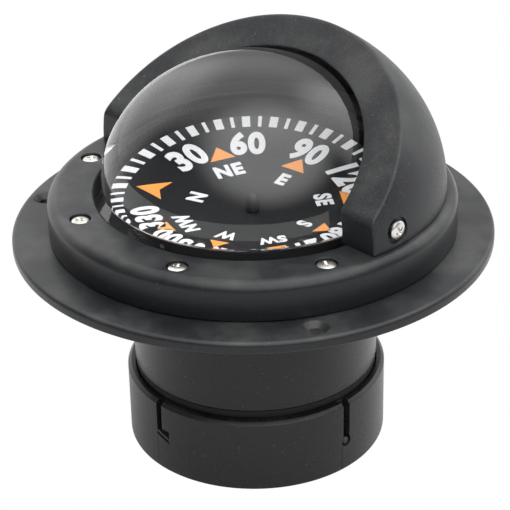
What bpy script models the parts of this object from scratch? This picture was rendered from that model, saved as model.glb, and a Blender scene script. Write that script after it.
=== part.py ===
"""Flush-mounting binnacle compass with a sun hood, built as the assembly of its real pieces.

Metres, +Z up. The origin is the centre of the bottom cup's underside. The helmsman looks from
the -Y side, where the hood is open, so +Y is forward. Angles round the vertical axis are counted
from -Y towards +X.
"""
import math

import bmesh
import bpy
from mathutils import Matrix, Vector

MM = 0.001

# Fits
GAP = 0.3 * MM                    # between faces that touch in the assembled compass
RUNNING = 0.2 * MM                # round a pin or a shaft
FINE_STEPS = 40                   # segments of the large turned pieces
STEPS = 32                        # segments of the middle-sized ones
SMALL_STEPS = 12                  # segments of screws and pins
HOLE_STEPS = 24                   # segments of the holes the screws go through

# Dome, the size that the whole width is built from
DOME_RADIUS = 45.0 * MM
DOME_WALL = 2.5 * MM
DOME_SPRING = 14.0 * MM           # height of the dome's widest level above the flange
DOME_RISE = 37.8 * MM             # from that level to the crown
DOME_TUCK = 6.5 * MM              # how far the dome's foot is drawn in
DOME_TUCK_DROP = 3.2 * MM         # height over which it is drawn in
DOME_FOOT_WALL = 2.0 * MM
DOME_LIP = 5.5 * MM               # width of the lip that the bezel clamps
DOME_LIP_THICKNESS = 2.2 * MM

# Bezel ring
BORE_MARGIN = 2.3 * MM            # bezel bore outside the dome
SCREW_MARGIN = 3.4 * MM           # screw circle outside the dome's lip
BEZEL_MARGIN = 7.5 * MM           # bezel's outside past the screw circle
BEZEL_HEIGHT = 12.0 * MM
BEZEL_ROUND = 3.4 * MM
BEZEL_BORE_ROUND = 0.8 * MM
BEZEL_SCREWS = 8

# Mounting flange
FLANGE_RIM = 11.1 * MM            # flange past the bezel
FLANGE_THICKNESS = 3.4 * MM
FLANGE_ROUND = 1.2 * MM
FLANGE_LOWER_ROUND = 0.4 * MM
DEPTH_BELOW_FLANGE = 70.8 * MM    # from the flange's top down to the underside
MOUNT_HOLES = 3
MOUNT_HOLE_OFFSET = 5.1 * MM      # hole circle past the bezel
MOUNT_HOLE_RADIUS = 2.2 * MM
MOUNT_HEAD_RADIUS = 3.7 * MM
MOUNT_FIRST_ANGLE = 60.0

# Hood
HOOD_CLEARANCE = 0.9 * MM         # between the dome and the hood
HOOD_WALL = 2.8 * MM
HOOD_CROWN = 11.5 * MM            # hood's outer crown above the dome's
HOOD_FRONT = 9.3 * MM             # front face ahead of the centre
HOOD_CHEEK = 10.0 * MM            # height of the upright part of the front face
HOOD_SLOPE = 1.27                 # run of the sloping front face for each unit of rise
HOOD_SCREW_HEIGHT = 5.0 * MM      # above the bezel
HOOD_SCREW_RECESS = 3.9 * MM
LUG_HEIGHT = 8.5 * MM
LUG_WIDTH = 9.0 * MM
LUG_CLEARANCE = 0.55 * MM         # between the lug's upper corners and the hood's hollow

# Pan-head screws
SCREW_RADIUS = 1.45 * MM
SCREW_HEAD_RADIUS = 2.85 * MM
SCREW_HEAD_HEIGHT = 1.5 * MM
SCREW_SEAT_RADIUS = 3.15 * MM
CROSS_WIDTH = 0.7 * MM
CROSS_LENGTH = 3.0 * MM
CROSS_DEPTH = 0.8 * MM
SCREW_CROWN = ((0.5, 0.08), (0.85, 0.25), (1.0, 0.55))  # shares of the head's radius and of its height
SCREW_TIP = 0.5                   # tip's share of the shank's radius

# Can and bowl
CAN_INSET = 7.4 * MM              # can's outside inside the dome's
CAN_WALL = 1.8 * MM
CAN_LIP = 6.6 * MM
CAN_LIP_THICKNESS = 1.5 * MM
CAN_LOWER_WALL = 3.4 * MM
CAN_FLOOR = 2.0 * MM
CAN_FLOOR_HEIGHT = 5.5 * MM       # underside of the can's floor above the cup's underside
BOWL_WALL = 1.5 * MM
BOWL_FLANGE_THICKNESS = 2.0 * MM
BOWL_COLLAR = 8.6 * MM            # collar's top above the flange
BOWL_DEPTH = 30.5 * MM            # bowl's underside below the flange
BOWL_FLOOR = 2.0 * MM
BOWL_CORNER = 12.0 * MM
GASKET_THICKNESS = 1.0 * MM
GASKET_WIDTH = 4.0 * MM

# Bottom cup
CUP_HEIGHT = 23.7 * MM
CUP_WALL = 2.5 * MM
CUP_MARGIN = 2.5 * MM             # cup's outside past the can's
CUP_FLOOR = 2.5 * MM
CUP_CHAMFER = 1.0 * MM
CUP_BOTTOM_ROUND = 0.5 * MM
SEAL_GROOVE_DEPTH = 1.2 * MM
SEAL_GROOVE_HEIGHT = 2.4 * MM
SLOT_ANGLE = -2.2                 # turns the four slots about the vertical axis
GUIDE_SLOT_WIDTH = 2.6 * MM
GUIDE_PIN_RADIUS = 1.2 * MM
GUIDE_PIN_HEIGHT = 10.0 * MM
GUIDE_EYE_RADIUS = 1.75 * MM
LATCH_SLOT_WIDTH = 2.3 * MM
LATCH_FOOT_LENGTH = 5.2 * MM
LATCH_FOOT_TOP = 14.4 * MM
LATCH_FINGER_DROP = 1.7 * MM
LATCH_FINGER_WIDTH = 0.8 * MM
LATCH_SLIT = 1.0 * MM
GLAND_RADIUS = 4.5 * MM
GLAND_BORE = 2.0 * MM

# Gimbal, cradle and card
AXIS_HEIGHT = 5.3 * MM            # gimbal axes above the flange
RING_CLEARANCE = 1.5 * MM         # between the bowl and the gimbal ring
RING_WIDTH = 2.2 * MM
RING_HEIGHT = 3.0 * MM
CRADLE_CLEARANCE = 0.4 * MM
CRADLE_WALL = 1.2 * MM
CRADLE_RIM = 1.0 * MM             # rim above the gimbal axes
CRADLE_DEPTH = 20.0 * MM          # floor's underside below the gimbal axes
PIVOT_PIN_RADIUS = 0.8 * MM
CARD_CLEARANCE = 1.2 * MM
CARD_THICKNESS = 0.8 * MM
FLOAT_RADIUS = 11.0 * MM
FLOAT_HEIGHT = 5.0 * MM
JEWEL_RADIUS = 2.2 * MM
JEWEL_HEIGHT = 1.8 * MM
JEWEL_CUP = 0.6                   # cup's share of the jewel's radius
JEWEL_SINK = 0.2                  # how deep the jewel sits, as a share of the float's height
PEG_RADIUS = 1.35 * MM
PEG_HEIGHT = 3.0 * MM
CARD_MAGNET_LENGTH = 26.0 * MM
CARD_MAGNET_RADIUS = 1.5 * MM
CARD_MAGNET_OFFSET = 14.0 * MM
POST_RADIUS = 1.2 * MM
POST_POINT = 0.3                  # share of the radius where the point begins
WEIGHT_RADIUS = 12.0 * MM
WEIGHT_HEIGHT = 5.0 * MM
LUBBER_RADIUS = 0.5 * MM
LUBBER_HEIGHT = 5.0 * MM

# Expansion diaphragm and filler plug in the bowl's floor
DIAPHRAGM_RADIUS = 13.0 * MM
DIAPHRAGM_THICKNESS = 0.9 * MM
DIAPHRAGM_FOLD = (0.4, 0.6, 0.8)  # where the fold starts, turns and ends, as shares of the opening
RETAINER_WIDTH = 3.0 * MM
RETAINER_THICKNESS = 1.6 * MM
PLUG_RADIUS = 2.5 * MM
PLUG_HEAD_RADIUS = 3.6 * MM
PLUG_OFFSET = 20.0 * MM

# Compensator and lamp below the bowl
FRAME_WIDTH = 3.6 * MM
FRAME_BOTTOM = 9.5 * MM
FRAME_TOP = 21.5 * MM
SHAFT_RADIUS = 1.8 * MM
SHAFT_HUB_RADIUS = 3.0 * MM
SHAFT_HUB_LENGTH = 6.0 * MM
HEADING_SHAFT_HEIGHT = 18.0 * MM
BEAM_SHAFT_HEIGHT = 13.3 * MM
SHAFT_MAGNET_OFFSET = 14.0 * MM
SHAFT_MAGNET_RADIUS = 1.2 * MM
SHAFT_MAGNET_LENGTH = 10.0 * MM
BRACKET_WIDTH = 8.0 * MM
BRACKET_THICKNESS = 1.2 * MM
LAMP_RADIUS = 2.5 * MM
LAMP_BASE_HEIGHT = 1.2 * MM
LAMP_HEIGHT = 3.0 * MM

# Sizes and levels worked out from the values above
FLANGE_TOP = DEPTH_BELOW_FLANGE
DOME_LIP_RADIUS = DOME_RADIUS + DOME_LIP
DOME_FOOT = DOME_RADIUS - DOME_TUCK
DOME_FOOT_BORE = DOME_FOOT - DOME_FOOT_WALL
SCREW_CIRCLE = DOME_LIP_RADIUS + SCREW_MARGIN
BEZEL_RADIUS = SCREW_CIRCLE + BEZEL_MARGIN
BEZEL_BORE = DOME_RADIUS + BORE_MARGIN
BEZEL_TOP = FLANGE_TOP + BEZEL_HEIGHT
FLANGE_RADIUS = BEZEL_RADIUS + FLANGE_RIM
MOUNT_CIRCLE = BEZEL_RADIUS + MOUNT_HOLE_OFFSET
HOOD_RADIUS = BEZEL_RADIUS - BEZEL_ROUND
CAN_RADIUS = DOME_RADIUS - CAN_INSET
CAN_BORE = CAN_RADIUS - CAN_WALL
CAN_LIP_RADIUS = CAN_RADIUS + CAN_LIP
CAN_LOWER_BORE = CAN_RADIUS - CAN_LOWER_WALL
CUP_RADIUS = CAN_RADIUS + CUP_MARGIN
CUP_BORE = CUP_RADIUS - CUP_WALL
SPIGOT_RADIUS = CUP_BORE - GAP
BOWL_RADIUS = CAN_BORE - GAP
BOWL_BORE = BOWL_RADIUS - BOWL_WALL
BOWL_FLANGE_BOTTOM = FLANGE_TOP + GAP
BOWL_FLANGE_TOP = BOWL_FLANGE_BOTTOM + BOWL_FLANGE_THICKNESS
BOWL_BOTTOM = FLANGE_TOP - BOWL_DEPTH
GASKET_BOTTOM = BOWL_FLANGE_TOP + GAP
DOME_LIP_BOTTOM = GASKET_BOTTOM + GASKET_THICKNESS + GAP
DOME_LIP_TOP = DOME_LIP_BOTTOM + DOME_LIP_THICKNESS
DOME_LEVEL = FLANGE_TOP + DOME_SPRING
DOME_TOP = DOME_LEVEL + DOME_RISE
HOOD_HOLLOW_RADIUS = HOOD_RADIUS - HOOD_WALL
HOOD_HOLLOW_RISE = DOME_TOP + HOOD_CROWN - BEZEL_TOP - HOOD_WALL
HOOD_HOLLOW_AT_LUG = HOOD_HOLLOW_RADIUS * math.sqrt(1.0 - (LUG_HEIGHT / HOOD_HOLLOW_RISE) ** 2)
LUG_OUTSIDE = math.sqrt(HOOD_HOLLOW_AT_LUG ** 2 - (LUG_WIDTH / 2.0) ** 2) - LUG_CLEARANCE
LUG_INSIDE = DOME_RADIUS + HOOD_CLEARANCE + HOOD_WALL + GAP
LUG_THICKNESS = LUG_OUTSIDE - LUG_INSIDE
AXIS_LEVEL = FLANGE_TOP + AXIS_HEIGHT
RING_RADIUS = BOWL_BORE - RING_CLEARANCE
RING_BORE = RING_RADIUS - RING_WIDTH
CRADLE_RADIUS = RING_BORE - CRADLE_CLEARANCE
CRADLE_BORE = CRADLE_RADIUS - CRADLE_WALL
CARD_RADIUS = CRADLE_BORE - CARD_CLEARANCE
CARD_TOP = AXIS_LEVEL
CARD_BOTTOM = CARD_TOP - CARD_THICKNESS
FLOAT_TOP = CARD_BOTTOM - GAP
FLOAT_BOTTOM = FLOAT_TOP - FLOAT_HEIGHT
JEWEL_TOP = FLOAT_TOP - JEWEL_SINK * FLOAT_HEIGHT
CRADLE_BOTTOM = AXIS_LEVEL - CRADLE_DEPTH

COLLECTION = "binnacle_compass"
CUTTER_COLLECTION = "cutters"


def clear_scene():
    for obj in list(bpy.data.objects):
        bpy.data.objects.remove(obj, do_unlink=True)


def new_collection(name):
    collection = bpy.data.collections.new(name)
    bpy.context.scene.collection.children.link(collection)
    return collection


def material(name, colour, roughness, metallic=0.0, transmission=0.0):
    made = bpy.data.materials.new(name)
    made.use_nodes = True
    shader = made.node_tree.nodes["Principled BSDF"]
    shader.inputs["Base Color"].default_value = (*colour, 1.0)
    shader.inputs["Roughness"].default_value = roughness
    shader.inputs["Metallic"].default_value = metallic
    shader.inputs["Transmission Weight"].default_value = transmission
    return made


def arc(radius_x, radius_z, centre_x, centre_z, start, end, count):
    """Points of an elliptic arc; 0 degrees is outwards and 90 is up."""
    points = []
    for i in range(count + 1):
        angle = math.radians(start + (end - start) * i / count)
        points.append((centre_x + radius_x * math.cos(angle), centre_z + radius_z * math.sin(angle)))
    return points


def round_corner(x, z, radius, start, count=4):
    """A quarter round that replaces the corner (x, z), turning clockwise from start degrees."""
    middle = math.radians(start - 45.0)
    centre_x = x - radius * math.copysign(1.0, math.cos(middle))
    centre_z = z - radius * math.copysign(1.0, math.sin(middle))
    return arc(radius, radius, centre_x, centre_z, start, start - 90.0, count)


def add_object(name, mesh, look, collection):
    obj = bpy.data.objects.new(name, mesh)
    collection.objects.link(obj)
    if look is not None:
        mesh.materials.append(look)
    return obj


def smooth(mesh):
    mesh.shade_smooth()
    mesh.set_sharp_from_angle(angle=math.radians(35.0))


def turned(name, profile, look, collection, steps, closed=True):
    """A profile of (radius, height) points turned about the vertical axis.

    The points run down the outer side from the top. An open profile starts and ends on the axis.
    """
    mesh = bpy.data.meshes.new(name)
    edges = [(i, i + 1) for i in range(len(profile) - 1)]
    if closed:
        edges.append((len(profile) - 1, 0))
    mesh.from_pydata([(x, 0.0, z) for x, z in profile], edges, [])
    obj = add_object(name, mesh, look, collection)
    screw = obj.modifiers.new("turn", "SCREW")
    screw.steps = steps
    screw.render_steps = steps
    screw.use_merge_vertices = True
    screw.merge_threshold = 0.000001
    screw.use_smooth_shade = False
    return obj


def bar(name, radius, length, centre, direction, look, collection, steps=SMALL_STEPS, tip=None):
    """A round bar, or a cone frustum when tip gives the far end's radius."""
    mesh = bpy.data.meshes.new(name)
    shape = bmesh.new()
    far = radius if tip is None else tip
    bmesh.ops.create_cone(shape, cap_ends=True, segments=steps, radius1=radius, radius2=far, depth=length)
    turn = Vector((0.0, 0.0, 1.0)).rotation_difference(Vector(direction)).to_matrix().to_4x4()
    bmesh.ops.transform(shape, matrix=Matrix.Translation(centre) @ turn, verts=shape.verts)
    shape.to_mesh(mesh)
    shape.free()
    smooth(mesh)
    return add_object(name, mesh, look, collection)


def block(name, size, centre, look, collection, turn=0.0):
    mesh = bpy.data.meshes.new(name)
    shape = bmesh.new()
    bmesh.ops.create_cube(shape, size=1.0)
    place = Matrix.Rotation(turn, 4, "Z") @ Matrix.Translation(centre) @ Matrix.Diagonal((*size, 1.0))
    bmesh.ops.transform(shape, matrix=place, verts=shape.verts)
    shape.to_mesh(mesh)
    shape.free()
    return add_object(name, mesh, look, collection)


def outline(name, points, thickness, place, look, collection):
    """A flat outline in the local XY plane, extruded along local Z about its middle."""
    curve = bpy.data.curves.new(name, "CURVE")
    curve.dimensions = "2D"
    curve.fill_mode = "BOTH"
    curve.extrude = thickness / 2.0
    spline = curve.splines.new("POLY")
    spline.points.add(len(points) - 1)
    for point, (x, y) in zip(spline.points, points):
        point.co = (x, y, 0.0, 1.0)
    spline.use_cyclic_u = True
    drawn = bpy.data.objects.new(name + "_outline", curve)
    collection.objects.link(drawn)
    bpy.context.view_layer.update()
    evaluated = drawn.evaluated_get(bpy.context.evaluated_depsgraph_get())
    mesh = bpy.data.meshes.new_from_object(evaluated)
    bpy.data.objects.remove(drawn, do_unlink=True)
    shape = bmesh.new()
    shape.from_mesh(mesh)
    bmesh.ops.remove_doubles(shape, verts=shape.verts, dist=0.000001)
    bmesh.ops.recalc_face_normals(shape, faces=shape.faces)
    bmesh.ops.transform(shape, matrix=place, verts=shape.verts)
    shape.to_mesh(mesh)
    shape.free()
    mesh.materials.clear()
    return add_object(name, mesh, look, collection)


def combine(target, tool, operation="DIFFERENCE"):
    step = target.modifiers.new(tool.name, "BOOLEAN")
    step.operation = operation
    step.solver = "EXACT"
    step.object = tool
    return target


def around(angle, radius, height=0.0):
    """A point at an angle from -Y towards +X."""
    turn = math.radians(angle)
    return Vector((radius * math.sin(turn), -radius * math.cos(turn), height))


def facing(angle, radius, height):
    """A frame on a wall: local X runs round it, Y is up and Z points outwards."""
    turn = math.radians(angle)
    outward = Vector((math.sin(turn), -math.cos(turn), 0.0))
    sideways = Vector((math.cos(turn), math.sin(turn), 0.0))
    place = Matrix((sideways, Vector((0.0, 0.0, 1.0)), outward)).transposed().to_4x4()
    place.translation = outward * radius + Vector((0.0, 0.0, height))
    return place


def attach(pieces, name, origin, collection):
    """Parents the pieces of a moving body to an empty on its joint's axis."""
    empty = bpy.data.objects.new(name, None)
    empty.location = origin
    empty.empty_display_size = 0.01
    collection.objects.link(empty)
    bpy.context.view_layer.update()
    for piece in pieces:
        piece.parent = empty
        piece.matrix_parent_inverse = empty.matrix_world.inverted()
    return empty


def make_looks():
    return {
        "hard_plastic": material("hard_plastic", (0.055, 0.057, 0.060), 0.62),
        "hood_plastic": material("hood_plastic", (0.075, 0.077, 0.080), 0.72),
        "can_plastic": material("can_plastic", (0.040, 0.041, 0.042), 0.42),
        "inner_plastic": material("inner_plastic", (0.020, 0.020, 0.021), 0.50),
        "clear_acrylic": material("clear_acrylic", (0.95, 0.96, 0.97), 0.03, 0.0, 1.0),
        "rubber": material("rubber", (0.012, 0.012, 0.012), 0.80),
        "stainless": material("stainless", (0.72, 0.71, 0.68), 0.30, 1.0),
        "brass": material("brass", (0.70, 0.52, 0.25), 0.35, 1.0),
        "magnet": material("magnet", (0.30, 0.30, 0.31), 0.40, 1.0),
        "card_black": material("card_black", (0.030, 0.031, 0.033), 0.35),
        "float_plastic": material("float_plastic", (0.45, 0.45, 0.44), 0.60),
        "jewel": material("jewel", (0.35, 0.06, 0.10), 0.10),
        "lead": material("lead", (0.22, 0.22, 0.23), 0.55, 1.0),
        "white_plastic": material("white_plastic", (0.80, 0.80, 0.78), 0.45),
        "lamp_red": material("lamp_red", (0.60, 0.05, 0.04), 0.15),
    }


class Shop:
    """The two collections and the looks that every piece is made with."""

    def __init__(self):
        self.parts = new_collection(COLLECTION)
        self.cutters = new_collection(CUTTER_COLLECTION)
        self.looks = make_looks()

    def hide_cutters(self):
        for cutter in self.cutters.objects:
            cutter.hide_render = True
            cutter.display_type = "WIRE"

    def turned(self, name, profile, look, steps=STEPS, closed=True):
        return turned(name, profile, self.looks[look], self.parts, steps, closed)

    def bar(self, name, radius, length, centre, direction, look, tip=None):
        return bar(name, radius, length, centre, direction, self.looks[look], self.parts, tip=tip)

    def block(self, name, size, centre, look, turn=0.0):
        return block(name, size, centre, self.looks[look], self.parts, turn)

    def bar_cutter(self, name, radius, length, centre, direction, steps=SMALL_STEPS, tip=None):
        return bar(name, radius, length, centre, direction, None, self.cutters, steps, tip)

    def block_cutter(self, name, size, centre, turn=0.0):
        return block(name, size, centre, None, self.cutters, turn)

    def turned_cutter(self, name, profile, steps=STEPS, closed=True):
        return turned(name, profile, None, self.cutters, steps, closed)

    def outline_cutter(self, name, points, thickness, place):
        return outline(name, points, thickness, place, None, self.cutters)


def bezel_screw_angles():
    step = 360.0 / BEZEL_SCREWS
    return [step / 2.0 + step * i for i in range(BEZEL_SCREWS)]


def build_mounting_flange(shop):
    bottom = FLANGE_TOP - FLANGE_THICKNESS
    seat = CAN_LIP_RADIUS + GAP
    ledge = FLANGE_TOP - CAN_LIP_THICKNESS - GAP
    profile = [(seat, FLANGE_TOP)]
    profile += round_corner(FLANGE_RADIUS, FLANGE_TOP, FLANGE_ROUND, 90.0)
    profile += round_corner(FLANGE_RADIUS, bottom, FLANGE_LOWER_ROUND, 0.0, 2)
    profile += [(CAN_RADIUS + GAP, bottom), (CAN_RADIUS + GAP, ledge), (seat, ledge)]
    flange = shop.turned("mounting_flange", profile, "hard_plastic", FINE_STEPS)
    up = (0.0, 0.0, 1.0)
    sink = MOUNT_HEAD_RADIUS - MOUNT_HOLE_RADIUS
    for i in range(MOUNT_HOLES):
        spot = around(MOUNT_FIRST_ANGLE + 360.0 / MOUNT_HOLES * i, MOUNT_CIRCLE)
        middle = spot + Vector((0.0, 0.0, FLANGE_TOP - FLANGE_THICKNESS / 2.0))
        hole = shop.bar_cutter(f"mount_hole_{i + 1}", MOUNT_HOLE_RADIUS, 2.0 * FLANGE_THICKNESS, middle, up,
                               HOLE_STEPS)
        combine(flange, hole)
        cone_middle = spot + Vector((0.0, 0.0, FLANGE_TOP))
        cone = shop.bar_cutter(f"mount_sink_{i + 1}", MOUNT_HOLE_RADIUS, 2.0 * sink, cone_middle, up,
                               HOLE_STEPS, MOUNT_HEAD_RADIUS + sink)
        combine(flange, cone)
    for i, angle in enumerate(bezel_screw_angles()):
        middle = around(angle, SCREW_CIRCLE, FLANGE_TOP - FLANGE_THICKNESS / 2.0)
        hole = shop.bar_cutter(f"flange_thread_{i + 1}", SCREW_RADIUS + RUNNING, 2.0 * FLANGE_THICKNESS,
                               middle, up)
        combine(flange, hole)
    return [flange]


def lug_centre(side):
    """The middle of the lug that carries one of the hood's side screws."""
    return Vector((side * (LUG_INSIDE + LUG_OUTSIDE) / 2.0, 0.0, BEZEL_TOP + LUG_HEIGHT / 2.0))


def build_bezel(shop):
    bottom = FLANGE_TOP + GAP
    clamp = DOME_LIP_TOP + GAP
    relief = DOME_LIP_RADIUS + GAP
    profile = round_corner(BEZEL_RADIUS, BEZEL_TOP, BEZEL_ROUND, 90.0, 5)
    profile += [(BEZEL_RADIUS, bottom), (relief, bottom), (relief, clamp), (BEZEL_BORE, clamp)]
    profile += arc(BEZEL_BORE_ROUND, BEZEL_BORE_ROUND, BEZEL_BORE + BEZEL_BORE_ROUND,
                   BEZEL_TOP - BEZEL_BORE_ROUND, 180.0, 90.0, 2)
    bezel = shop.turned("bezel_ring", profile, "hard_plastic", FINE_STEPS)
    up = (0.0, 0.0, 1.0)
    overlap = BEZEL_HEIGHT / 4.0
    for side, word in ((1.0, "right"), (-1.0, "left")):
        centre = lug_centre(side) - Vector((0.0, 0.0, overlap / 2.0))
        size = (LUG_THICKNESS, LUG_WIDTH, LUG_HEIGHT + overlap)
        lug = shop.block_cutter(f"lug_{word}", size, centre)
        combine(bezel, lug, "UNION")
        bore_centre = lug_centre(side)
        bore_centre.z = BEZEL_TOP + HOOD_SCREW_HEIGHT
        bore = shop.bar_cutter(f"lug_bore_{word}", SCREW_RADIUS + RUNNING, 2.0 * LUG_THICKNESS, bore_centre,
                               (side, 0.0, 0.0))
        combine(bezel, bore)
    pieces = [bezel]
    seat_depth = SCREW_HEAD_HEIGHT + GAP + GAP / 3.0
    for i, angle in enumerate(bezel_screw_angles()):
        spot = around(angle, SCREW_CIRCLE)
        shank = shop.bar_cutter(f"bezel_hole_{i + 1}", SCREW_RADIUS + RUNNING, 2.0 * BEZEL_HEIGHT,
                                spot + Vector((0.0, 0.0, BEZEL_TOP)), up)
        combine(bezel, shank)
        seat = shop.bar_cutter(f"bezel_seat_{i + 1}", SCREW_SEAT_RADIUS, 2.0 * seat_depth,
                               spot + Vector((0.0, 0.0, BEZEL_TOP)), up, HOLE_STEPS)
        combine(bezel, seat)
        length = BEZEL_HEIGHT + FLANGE_THICKNESS - SCREW_HEAD_HEIGHT - GAP
        top = spot + Vector((0.0, 0.0, BEZEL_TOP - GAP / 3.0))
        pieces.append(pan_screw(shop, f"bezel_screw_{i + 1}", length, top, Vector(up)))
    return pieces


def pan_screw(shop, name, length, crown, direction):
    """A cross-recessed pan-head screw whose head's crown is at a point and faces a direction."""
    head = SCREW_HEAD_HEIGHT
    profile = [(0.0, 0.0)]
    profile += [(out * SCREW_HEAD_RADIUS, -down * head) for out, down in SCREW_CROWN]
    profile += [(SCREW_HEAD_RADIUS, -head), (SCREW_RADIUS, -head)]
    profile += [(SCREW_RADIUS, -head - length + SCREW_RADIUS), (SCREW_TIP * SCREW_RADIUS, -head - length)]
    profile += [(0.0, -head - length)]
    screw = shop.turned(name, profile, "stainless", SMALL_STEPS, False)
    screw.location = crown
    screw.rotation_mode = "QUATERNION"
    screw.rotation_quaternion = Vector((0.0, 0.0, 1.0)).rotation_difference(direction)
    for i in range(2):
        size = (CROSS_LENGTH, CROSS_WIDTH, 2.0 * CROSS_DEPTH)
        recess = shop.block_cutter(f"{name}_cross_{i + 1}", size, (0.0, 0.0, 0.0), math.pi / 2.0 * i)
        recess.location = crown
        recess.rotation_mode = "QUATERNION"
        recess.rotation_quaternion = screw.rotation_quaternion
        combine(screw, recess)
    return screw


def hood_shell_profile(inset):
    """The hood's section at its inner and outer skins, moved inwards by an inset."""
    outer_radius = HOOD_RADIUS - inset
    outer_rise = DOME_TOP + HOOD_CROWN - BEZEL_TOP - inset
    inner_radius = DOME_RADIUS + HOOD_CLEARANCE + inset
    inner_rise = DOME_RISE + HOOD_CLEARANCE + inset
    base = BEZEL_TOP + GAP - inset
    foot = math.degrees(math.asin(GAP / outer_rise))
    outer = arc(outer_radius, outer_rise, 0.0, BEZEL_TOP, 90.0, foot, 11)
    inner = arc(inner_radius, inner_rise, 0.0, DOME_LEVEL, 0.0, 90.0, 9)
    outer[0] = (0.0, BEZEL_TOP + outer_rise)
    inner[-1] = (0.0, DOME_LEVEL + inner_rise)
    return outer + [(outer[-1][0], base), (inner_radius, base)] + inner


def hood_front_cutter(shop, name, inset):
    """Everything ahead of the hood's front face, moved back by an inset."""
    reach = 2.0 * FLANGE_RADIUS
    top = DOME_TOP + 2.0 * HOOD_CROWN
    low = FLANGE_TOP
    knee = BEZEL_TOP + HOOD_CHEEK
    face = inset - HOOD_FRONT
    slope_inset = inset * (math.hypot(1.0, HOOD_SLOPE) - 1.0)
    points = [(face, low), (face, knee - slope_inset / HOOD_SLOPE)]
    points += [(face + HOOD_SLOPE * (top - knee) + slope_inset, top), (-reach, top), (-reach, low)]
    place = Matrix(((0.0, 0.0, 1.0, 0.0), (1.0, 0.0, 0.0, 0.0), (0.0, 1.0, 0.0, 0.0), (0.0, 0.0, 0.0, 1.0)))
    return shop.outline_cutter(name, points, 2.0 * reach, place)


def build_hood(shop):
    hood = shop.turned("hood", hood_shell_profile(0.0), "hood_plastic", FINE_STEPS, False)
    combine(hood, hood_front_cutter(shop, "hood_front", 0.0))
    hollow = shop.turned_cutter("hood_hollow", hood_shell_profile(HOOD_WALL), FINE_STEPS, False)
    combine(hollow, hood_front_cutter(shop, "hood_hollow_front", HOOD_WALL))
    combine(hood, hollow)
    pieces = [hood]
    level = BEZEL_TOP + HOOD_SCREW_HEIGHT
    seat = HOOD_RADIUS - HOOD_WALL / 2.0
    for side, word in ((1.0, "right"), (-1.0, "left")):
        outward = Vector((side, 0.0, 0.0))
        length = HOOD_RADIUS - (DOME_RADIUS + HOOD_CLEARANCE + HOOD_WALL)
        shank = shop.bar_cutter(f"hood_hole_{word}", SCREW_RADIUS + RUNNING, length,
                                outward * HOOD_RADIUS + Vector((0.0, 0.0, level)), outward)
        combine(hood, shank)
        middle = outward * (seat + HOOD_WALL / 2.0) + Vector((0.0, 0.0, level))
        recess = shop.bar_cutter(f"hood_recess_{word}", HOOD_SCREW_RECESS, HOOD_WALL, middle, outward,
                                 HOLE_STEPS)
        combine(hood, recess)
        crown = outward * (seat + GAP + SCREW_HEAD_HEIGHT) + Vector((0.0, 0.0, level))
        pieces.append(pan_screw(shop, f"hood_screw_{word}", length / 2.0, crown, outward))
    return pieces


def build_dome(shop):
    outer = arc(DOME_RADIUS, DOME_RISE, 0.0, DOME_LEVEL, 90.0, 0.0, 10)
    outer[0] = (0.0, DOME_TOP)
    tuck = arc(DOME_TUCK, DOME_TUCK_DROP, DOME_FOOT, DOME_LEVEL, 0.0, -90.0, 4)[1:]
    lip = [(DOME_FOOT, DOME_LIP_TOP), (DOME_LIP_RADIUS, DOME_LIP_TOP), (DOME_LIP_RADIUS, DOME_LIP_BOTTOM)]
    shoulder = DOME_LEVEL - DOME_TUCK_DROP + DOME_FOOT_WALL
    foot = [(DOME_FOOT_BORE, DOME_LIP_BOTTOM), (DOME_FOOT_BORE, shoulder)]
    inner = arc(DOME_RADIUS - DOME_WALL, DOME_RISE - DOME_WALL, 0.0, DOME_LEVEL, 0.0, 90.0, 8)
    inner[-1] = (0.0, DOME_TOP - DOME_WALL)
    dome = shop.turned("dome", outer + tuck + lip + foot + inner, "clear_acrylic", STEPS, False)
    low = GASKET_BOTTOM
    top = low + GASKET_THICKNESS
    ring = [(DOME_LIP_RADIUS - GASKET_WIDTH, top), (DOME_LIP_RADIUS, top), (DOME_LIP_RADIUS, low),
            (DOME_LIP_RADIUS - GASKET_WIDTH, low)]
    gasket = shop.turned("dome_gasket", ring, "rubber")
    return [dome, gasket]


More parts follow.
